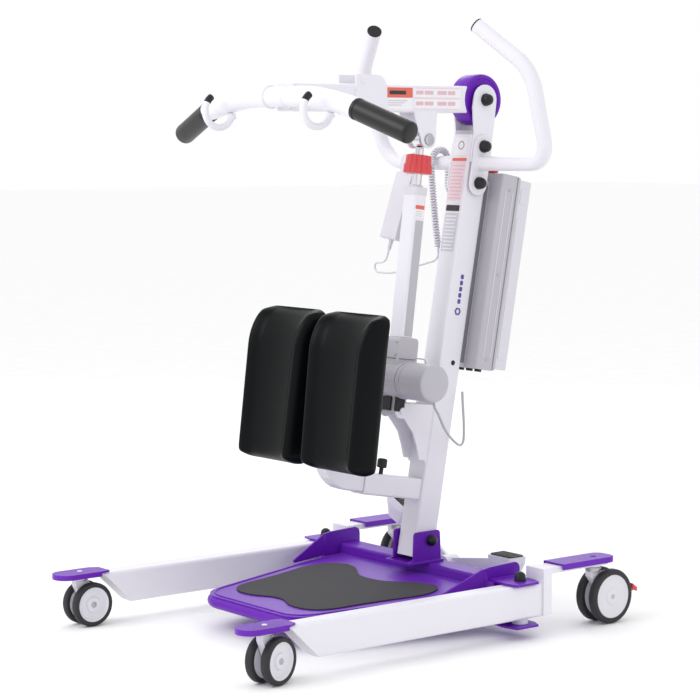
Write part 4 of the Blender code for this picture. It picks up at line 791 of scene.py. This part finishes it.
# ---- actuator ------------------------------------------------------------------------------------
def make_actuator():
    """The motor, the ribbed red release collar, the chrome rod and the tube's trims."""
    centre = (0.0, 0.0, 0.071)
    motor = turned([
        (0.0423, 0.01), (0.0423, 0.0405), (0.044, 0.0424), (0.056, 0.0424), (0.056, 0.0412), (0.058, 0.0412),
        (0.058, 0.043), (0.129, 0.043), (0.133, 0.0422), (0.135, 0.04), (0.136, 0.037), (0.136, 0.005),
    ], centre, "X", 72)
    on_actuator("motor_can", [motor], "grey_plastic", replaces=("motor",), smooth=30.0)
    gland_place = ACTUATOR.inverted() @ Vector((0.1, 0.176, 0.53))
    gland = turned([(-0.021, 0.003), (-0.021, 0.0042), (-0.015, 0.0052), (0.0, 0.0056)], gland_place, "Z", 32)
    on_actuator("motor_gland", [gland], "dark_grey_plastic")
    saddle_ring = turned([(-0.0418, 0.0436), (-0.03, 0.0452), (-0.01, 0.0452), (-0.008, 0.044)], centre, "X",
                         64)
    on_actuator("gearbox_band", [saddle_ring], "grey_plastic")
    end_cap = turned([(-0.0455, 0.01), (-0.0455, 0.03), (-0.044, 0.038), (-0.0415, 0.04)], centre, "X", 64)
    on_actuator("gearbox_cap", [end_cap], "dark_grey_plastic")
    screws = [dome((x, -0.03, z), "Y", 0.0, 0.004, 0.0025, -1.0) for x in (-0.022, 0.022) for z in (0.128,
                                                                                                    0.158)]
    on_actuator("gearbox_screws", screws, "zinc_steel")
    seam = [block((-0.031, -0.031, 0.118), (0.031, 0.031, 0.12), 0.01, "Z")]
    on_actuator("gearbox_seam", seam, "dark_grey_plastic")
    foot = [block((-0.032, -0.02, -0.002), (0.01, -0.012, 0.034), 0.004, "Y"),
            block((0.0236, -0.02, -0.002), (0.031, 0.006, 0.034), 0.003, "X")]
    on_actuator("gearbox_foot_pad", foot, "black_plastic", bevel=0.0012)

    top = 0.512
    collar = [
        block((-0.023, -0.02, 0.496), (0.023, 0.02, top + 0.0025), 0.009, "Z"),
        turned([(top + 0.002, 0.0175), (top + 0.006, 0.0165), (top + 0.008, 0.0135)], (0, 0, 0), "Z", 48),
    ]
    on_actuator("tube_cap", collar, "pale_plastic", bevel=0.001)
    for side, hand in SIDES.items():
        corners = sorted((hand * 0.0218, hand * 0.0226))
        strip = block((corners[0], -0.0095, 0.172), (corners[1], 0.0135, 0.438), 0.003, "X")
        on_actuator("tube_channel_" + side, [strip], "grey_plastic")
    labels = [("tube_label_red", "label_red", 0.464, 0.473),
              ("tube_label_sheet", "label_white", 0.444, 0.4638)]
    for name, look, low, high in labels:
        label = block((0.0214, -0.013, low), (0.0224, 0.013, high), 0.0015, "X")
        on_actuator(name, [label], look)
    lines = [block((0.022, -0.011, z), (0.0227, 0.007, z + 0.0018), 0.0006, "X") for z in (0.4475, 0.4525,
                                                                                           0.4575)]
    on_actuator("tube_label_lines", lines, "label_grey")
    bail = fillet_path([(0.052, 0.0, 0.11), (0.052, 0.0, 0.1235), (0.096, 0.0, 0.1235), (0.096, 0.0, 0.11)],
                       [0.01, 0.01], 10)
    on_actuator("motor_bail", [sweep(bail, circle(0.003, 16), up=(0, 1, 0))], "grey_plastic",
          smooth=60.0)

    end = (UPPER_PIN - LOWER_PIN).length
    rod = turned([(0.1, 0.01), (0.1, 0.0115), (end - 0.052, 0.0115), (end - 0.05, 0.01),
                  (end - 0.018, 0.01)], (0, 0, 0), "Z", 64)
    eye = turned([(-0.012, 0.016), (-0.0105, 0.0175), (0.0105, 0.0175), (0.012, 0.016)], (0, 0, end), "X", 56)
    piece("chrome_rod", [rod, eye], "bright_steel", "actuator_stem", ACTUATOR, replaces=("actuator_rod",),
          smooth=30.0)

    low = end - 0.078
    rings = []
    segments = 180
    stations = [(0.0, 0.0312, 0.0), (0.0012, 0.033, 1.0), (0.019, 0.0328, 1.0), (0.0215, 0.0306, 0.6),
                (0.025, 0.0298, 1.0), (0.0405, 0.0292, 1.0), (0.0422, 0.0275, 0.0), (0.043, 0.018, 0.0),
                (0.026, 0.012, 0.0), (0.0, 0.012, 0.0)]
    for index in range(segments):
        angle = 2.0 * math.pi * index / segments
        dent = 0.0024 * max(0.0, math.cos(angle * 15.0)) ** 3
        rings.append([Vector(((size - dent * ribbed) * math.cos(angle),
                              (size - dent * ribbed) * math.sin(angle),
                              low + far)) for far, size, ribbed in stations])
    piece("release_ring", [skin(rings, True)], "red_plastic", "collar", ACTUATOR,
          replaces=("release_collar",),
          smooth=42.0)


# ---- knee pads -----------------------------------------------------------------------------------
def roll_share(up):
    """How far up its rolled top a level lies, from 0 to 1."""
    return min(1.0, max(0.0, up - (PAD_HALF_HEIGHT - PAD_ROLL)) / PAD_ROLL)


def pad_front(across, up):
    """How far a pad's front stands before its back: a channel between raised rims, and a rolled top."""
    side = abs(across) / PAD_HALF_WIDTH
    shoulder = min(1.0, max(0.0, (side - 0.56) / 0.26))
    shoulder = shoulder * shoulder * (3.0 - 2.0 * shoulder)
    depth = PAD_DEPTH - PAD_HOLLOW * (1.0 - shoulder) - PAD_DISH * (1.0 - min(1.0, side / 0.6) ** 2)
    depth -= 0.062 * (1.0 - math.sqrt(max(0.0, 1.0 - roll_share(up) ** 2)))
    into_lip = max(0.0, -up - (PAD_HALF_HEIGHT - 0.03)) / 0.03
    return depth - 0.008 * into_lip ** 2


def make_pads():
    """Two moulded shin pads with crowned rims, a hollow for the shin and a rolled-back top."""
    columns, rows = 60, 84
    corner = 0.026
    for side, hand in SIDES.items():
        builder = bmesh.new()
        grid = {}
        for layer in (0, 1):
            for row in range(rows + 1):
                for column in range(columns + 1):
                    u = math.sin(math.pi / 2.0 * (-1.0 + 2.0 * column / columns))
                    v = math.sin(math.pi / 2.0 * (-1.0 + 2.0 * row / rows))
                    across, up = u * PAD_HALF_WIDTH, v * PAD_HALF_HEIGHT
                    inset = min(PAD_HALF_WIDTH - abs(across), PAD_HALF_HEIGHT - abs(up))
                    a = max(0.0, abs(across) - (PAD_HALF_WIDTH - corner)) / corner
                    b = max(0.0, abs(up) - (PAD_HALF_HEIGHT - corner)) / corner
                    if a > 0.0 and b > 0.0:
                        inset = corner * (1.0 - max(a, b))
                        reach = PAD_HALF_WIDTH - corner + corner * a * math.sqrt(1.0 - b * b / 2.0)
                        rise = PAD_HALF_HEIGHT - corner + corner * b * math.sqrt(1.0 - a * a / 2.0)
                        across = math.copysign(reach, across)
                        up = math.copysign(rise, up)
                    share = min(1.0, inset / PAD_EDGE)
                    crown = math.sqrt(max(0.0, 1.0 - (1.0 - share) ** 2))
                    rim = PAD_THIN - 0.013 * roll_share(up)
                    front = max(rim + 0.001, pad_front(across, up))
                    if layer:
                        depth = rim + (front - rim) * crown
                    else:
                        depth = rim - (rim - 0.0005) * min(1.0, crown * 1.2)
                    if across * hand < 0.0:
                        across *= 1.0 + PAD_FLARE * (0.5 + 0.5 * up / PAD_HALF_HEIGHT)
                    place = Vector((hand * PAD_X + across, PAD_BACK - depth, up))
                    grid[layer, row, column] = builder.verts.new(place)
        for layer in (0, 1):
            for row in range(rows):
                for column in range(columns):
                    builder.faces.new([grid[layer, row, column], grid[layer, row, column + 1],
                                       grid[layer, row + 1, column + 1], grid[layer, row + 1, column]])
        bmesh.ops.remove_doubles(builder, verts=builder.verts, dist=0.00005)
        bmesh.ops.recalc_face_normals(builder, faces=builder.faces)
        pad = piece("shin_pad_" + side, [builder], "pad_skin", "knee_rest", KNEE,
                    replaces=("knee_pad_" + side,),
                    smooth=80.0)


def make_knee_details():
    """The clamp knobs of the knee rest: on the arm's side and on the sleeve."""
    knob = turned([(0.0253, 0.005), (0.04, 0.005), (0.04, 0.01), (0.0425, 0.0115), (0.058, 0.0115),
                   (0.061, 0.009), (0.062, 0.003)], (0.012, -0.148, 0.29), "Z", 48)
    on_mast("arm_knob", [knob], "black_plastic")
    sleeve_knob = turned([(0.0, 0.006), (0.008, 0.006), (0.008, 0.012), (0.0105, 0.014), (0.02, 0.014),
                          (0.0225, 0.0115), (0.0232, 0.004)], (0.0, 0.0248, 0.0), "Y", 48)
    piece("sleeve_knob", [sleeve_knob], "black_plastic", "knee_rest", KNEE)
    cap = [block((-0.0195, -0.0195, 0.1195), (0.0195, 0.0195, 0.1225), 0.004, "Z")]
    piece("post_cap", cap, "black_plastic", "knee_slide", KNEE, bevel=0.0008)
    bolts = [dome((x * hand, 0.006, 0.0), "Y", 0.0, 0.007, 0.005) for x in (0.095, 0.142) for hand in (1, -1)]
    piece("bracket_bolts", bolts, "zinc_steel", "knee_rest", KNEE)


# ---- electrics -----------------------------------------------------------------------------------
def make_electrics():
    """The control box's grooves, screws, sockets and lamps, the battery's pull and the stop button."""
    low, high = 0.586, 1.046
    seam = [block((-0.0712, 0.0985, low + 0.002), (0.0712, 0.1001, high - 0.002), 0.004, "Z")]
    on_mast("box_seam", seam, "grey_plastic")
    for name, hand in SIDES.items():
        corners = sorted((hand * 0.0698, hand * 0.0708))
        grooves = [block((corners[0], 0.062, low + 0.03), (corners[1], 0.064, high - 0.04), 0.0006, "X"),
                   block((corners[0], 0.084, low + 0.03), (corners[1], 0.086, high - 0.04), 0.0006, "X")]
        on_mast("box_grooves_" + name, grooves, "pale_plastic")
        screws = [dome((hand * 0.07, 0.074, level), "X", 0.0, 0.0036, 0.0022, hand) for level in (0.61, 0.81,
                                                                                                  1.01)]
        on_mast("box_screws_" + name, screws, "zinc_steel")
        corners = sorted((hand * 0.0678, hand * 0.069))
        latch = [block((corners[0], 0.112, 0.985), (corners[1], 0.134, 1.02), 0.004, "X"),
                 block((corners[0], 0.11, 0.615), (corners[1], 0.136, 0.95), 0.005, "X")]
        on_mast("battery_panel_" + name, latch, "pale_plastic", bevel=0.0004)
    rail = [block((-0.026, 0.0324, low + 0.01), (0.026, 0.047, high - 0.03), 0.004, "Z")]
    on_mast("mounting_rail", rail, "dark_grey_plastic")
    sockets = [turned([(-0.006, 0.005), (-0.006, 0.008), (0.0, 0.0088)], (x, 0.075, low), "Z", 36)
               for x in (-0.045, -0.015, 0.015, 0.045)]
    on_mast("box_sockets", sockets, "black_plastic")
    grip = fillet_path([(-0.035, 0.144, 0.7), (-0.035, 0.144, 0.72), (0.035, 0.144, 0.72),
                        (0.035, 0.144, 0.7)], [0.01, 0.01], 8)
    back = [block((-0.06, 0.145, 0.62), (0.06, 0.1461, 1.0), 0.006, "Y")]
    on_mast("battery_back", back, "grey_plastic", bevel=0.0004)
    on_mast("battery_pull", [sweep(grip, circle(0.006, 20), up=(0, 1, 0))], "dark_grey_plastic")
    top = high
    button = turned([(top - 0.015, 0.0085), (top + 0.006, 0.0085), (top + 0.006, 0.0145),
                     (top + 0.008, 0.016),
                     (top + 0.016, 0.0165), (top + 0.02, 0.0158), (top + 0.0235, 0.0135),
                     (top + 0.0255, 0.009),
                     (top + 0.026, 0.002)], (0.0, 0.072, 0.0), "Z", 64)
    piece("stop_mushroom", [button], "red_plastic", "stop_knob", MAST, replaces=("stop_button",))
    collar = turned([(top, 0.0105), (top, 0.0185), (top + 0.0015, 0.019), (top + 0.0015, 0.0105)],
                    (0.0, 0.072, 0.0), "Z", 56, True)
    on_mast("stop_collar", [collar], "label_red")
    lamps = [dome((x, 0.086, top), "Z", 0.0, 0.0025, 0.002) for x in (-0.045, -0.035, 0.045)]
    on_mast("box_lamps", lamps, "label_black")


def make_handset_details():
    """The hand control's front panel, its buttons and the cord's strain relief."""
    panel = block((-0.024, 0.0148, -0.148), (0.024, 0.0156, -0.012), 0.006, "Y")
    piece("handset_panel_back", [panel], "grey_plastic", "base", HANDSET, bevel=0.0003)
    keys = [block((x - 0.0075, 0.015, z - 0.0095), (x + 0.0075, 0.0172, z + 0.0095), 0.004, "Y")
            for x in (-0.011, 0.011) for z in (-0.045, -0.08)]
    piece("handset_keys", keys, "label_white", "base", HANDSET, bevel=0.0006)
    relief_rings = [turned([(-0.168 - 0.004 * index, 0.005),
                            (-0.17 - 0.004 * index, 0.0062 - 0.0003 * index)],
                           (0, 0, 0), "Z", 28) for index in range(5)]
    piece("handset_relief", relief_rings, "pale_plastic", "base", HANDSET, bevel=0.0004)


# ---- pedal, legs and casters ---------------------------------------------------------------------
def make_pedal_details():
    """The ribbed black treads of the spreading rocker and the nut on its shaft."""
    centre = Vector((-0.021, 0.325, 0.095))
    other_arm = Matrix.Rotation(math.radians(25.0), 4, "Y") @ Matrix.Rotation(math.pi, 4, "Z")
    for name, turn in (("near", WORLD), ("far", other_arm)):
        top = 0.145 - centre.z
        parts = [block((0.169, -0.022, top - 0.001), (0.239, 0.022, top + 0.0032), 0.006, "Z")]
        parts += [block((0.173 + 0.009 * index, -0.019, top + 0.0028),
                        (0.177 + 0.009 * index, 0.019, top + 0.0044),
                        0.0012, "Z") for index in range(7)]
        piece("pedal_tread_" + name, parts, "grip_rubber", "foot_rocker", Matrix.Translation(centre) @ turn,
              bevel=0.0005)
    nut = turned([(0.3455, 0.006), (0.3455, 0.0125), (0.353, 0.0125), (0.353, 0.006)], (-0.021, 0, 0.095),
                 "Y", 6)
    piece("pedal_nut", [nut], "zinc_steel", "base", bevel=0.0006)


def make_leg_details():
    """The pale bushes between the legs."""
    for side, hand in SIDES.items():
        bush = turned([(0.0316, 0.0184), (0.043, 0.0184), (0.043, 0.0086), (0.0316, 0.0086)],
                      (hand * LEG_X, LEG_PIVOT_Y, 0.0), "Z", 48, True)
        piece("leg_bush_" + side, [bush], "pale_plastic", "leg_arm_" + side)


def wheel_half(radius, hand, inner, outer, cover):
    """One tyre of a twin caster with its disc: (tyre shells, disc shells)."""
    tread = radius * 0.2
    tyre = turned([
        (hand * inner, radius - tread), (hand * inner, radius - 0.005),
        (hand * (inner + 0.0012), radius - 0.0016),
        (hand * (inner + 0.0045), radius), (hand * (outer - 0.005), radius),
        (hand * (outer - 0.0014), radius - 0.0018),
        (hand * outer, radius - 0.0055), (hand * outer, radius - tread),
        (hand * (outer - 0.003), radius - tread - 0.001),
        (hand * (inner + 0.002), radius - tread - 0.001),
    ], axis="X", segments=80, ring=True)
    rim = radius - tread
    face = outer - 0.0006
    if cover:
        profile = [(inner + 0.001, 0.006), (inner + 0.001, rim), (face - 0.0006, rim), (face, rim - 0.003),
                   (face - 0.0022, rim - 0.006), (face - 0.0022, rim * 0.4), (face - 0.0004, rim * 0.36),
                   (face - 0.0004, 0.002)]
    else:
        profile = [(inner + 0.001, 0.006), (inner + 0.001, rim), (face - 0.001, rim),
                   (face - 0.003, rim - 0.003),
                   (face - 0.006, rim - 0.0055), (face - 0.006, rim * 0.46), (face - 0.002, rim * 0.4),
                   (face - 0.002, 0.002)]
    disc = turned([(hand * far, size) for far, size in profile], axis="X", segments=80)
    return tyre, disc


def make_casters():
    """The wheels: dark tyres on pale discs, with their axle caps, front and rear."""
    kinds = (("front", 0.05, -0.493, 0.02, 15.0, False), ("rear", 0.0625, 0.434, 0.036, 0.0, True))
    for end, radius, swivel_y, trail, turn_degrees, cover in kinds:
        for side, hand in SIDES.items():
            turn = Matrix.Rotation(math.radians(turn_degrees if hand > 0 else 0.0), 4, "Z")
            seat = Matrix.Translation((hand * CASTER_X, swivel_y, 0.0)) @ turn
            place = seat @ Matrix.Translation((0.0, trail, radius))
            body = f"{end}_wheels_{side}"
            tyres, discs = [], []
            for half in (1.0, -1.0):
                tyre, disc = wheel_half(radius, half, 0.011, 0.03, cover)
                tyres.append(tyre)
                discs.append(disc)
            piece(f"{end}_tyres_{side}", tyres, "tyre", body, place, replaces=(f"{end}_wheel_{side}",),
                  smooth=45.0)
            piece(f"{end}_discs_{side}", discs, "wheel_disc", body, place, smooth=40.0)
            caps = [dome((0.0, 0.0, 0.0), "X", 0.026, 0.0075, 0.004, half) for half in (1.0, -1.0)]
            piece(f"{end}_axle_caps_{side}", caps, "grey_plastic" if cover else "zinc_steel", body, place)
            top = 0.137 if cover else 0.1203
            fork_body = f"{end}_caster_{side}"
            ring = turned([(top - 0.015, 0.01), (top - 0.015, 0.0172), (top - 0.013, 0.0182),
                           (top - 0.006, 0.0182),
                           (top - 0.0045, 0.017), (top - 0.0045, 0.01)], (0, 0, 0), "Z", 56, True)
            piece(f"{end}_swivel_ring_{side}", [ring], "zinc_steel", fork_body, seat)


make_camera()
make_cords()
make_studio()
dress_frame()
make_tray()
make_mast_details()
make_bolts()
make_handles()
make_boom_parts()
make_boom_details()
make_actuator()
make_pads()
make_knee_details()
make_electrics()
make_handset_details()
make_pedal_details()
make_leg_details()
make_casters()
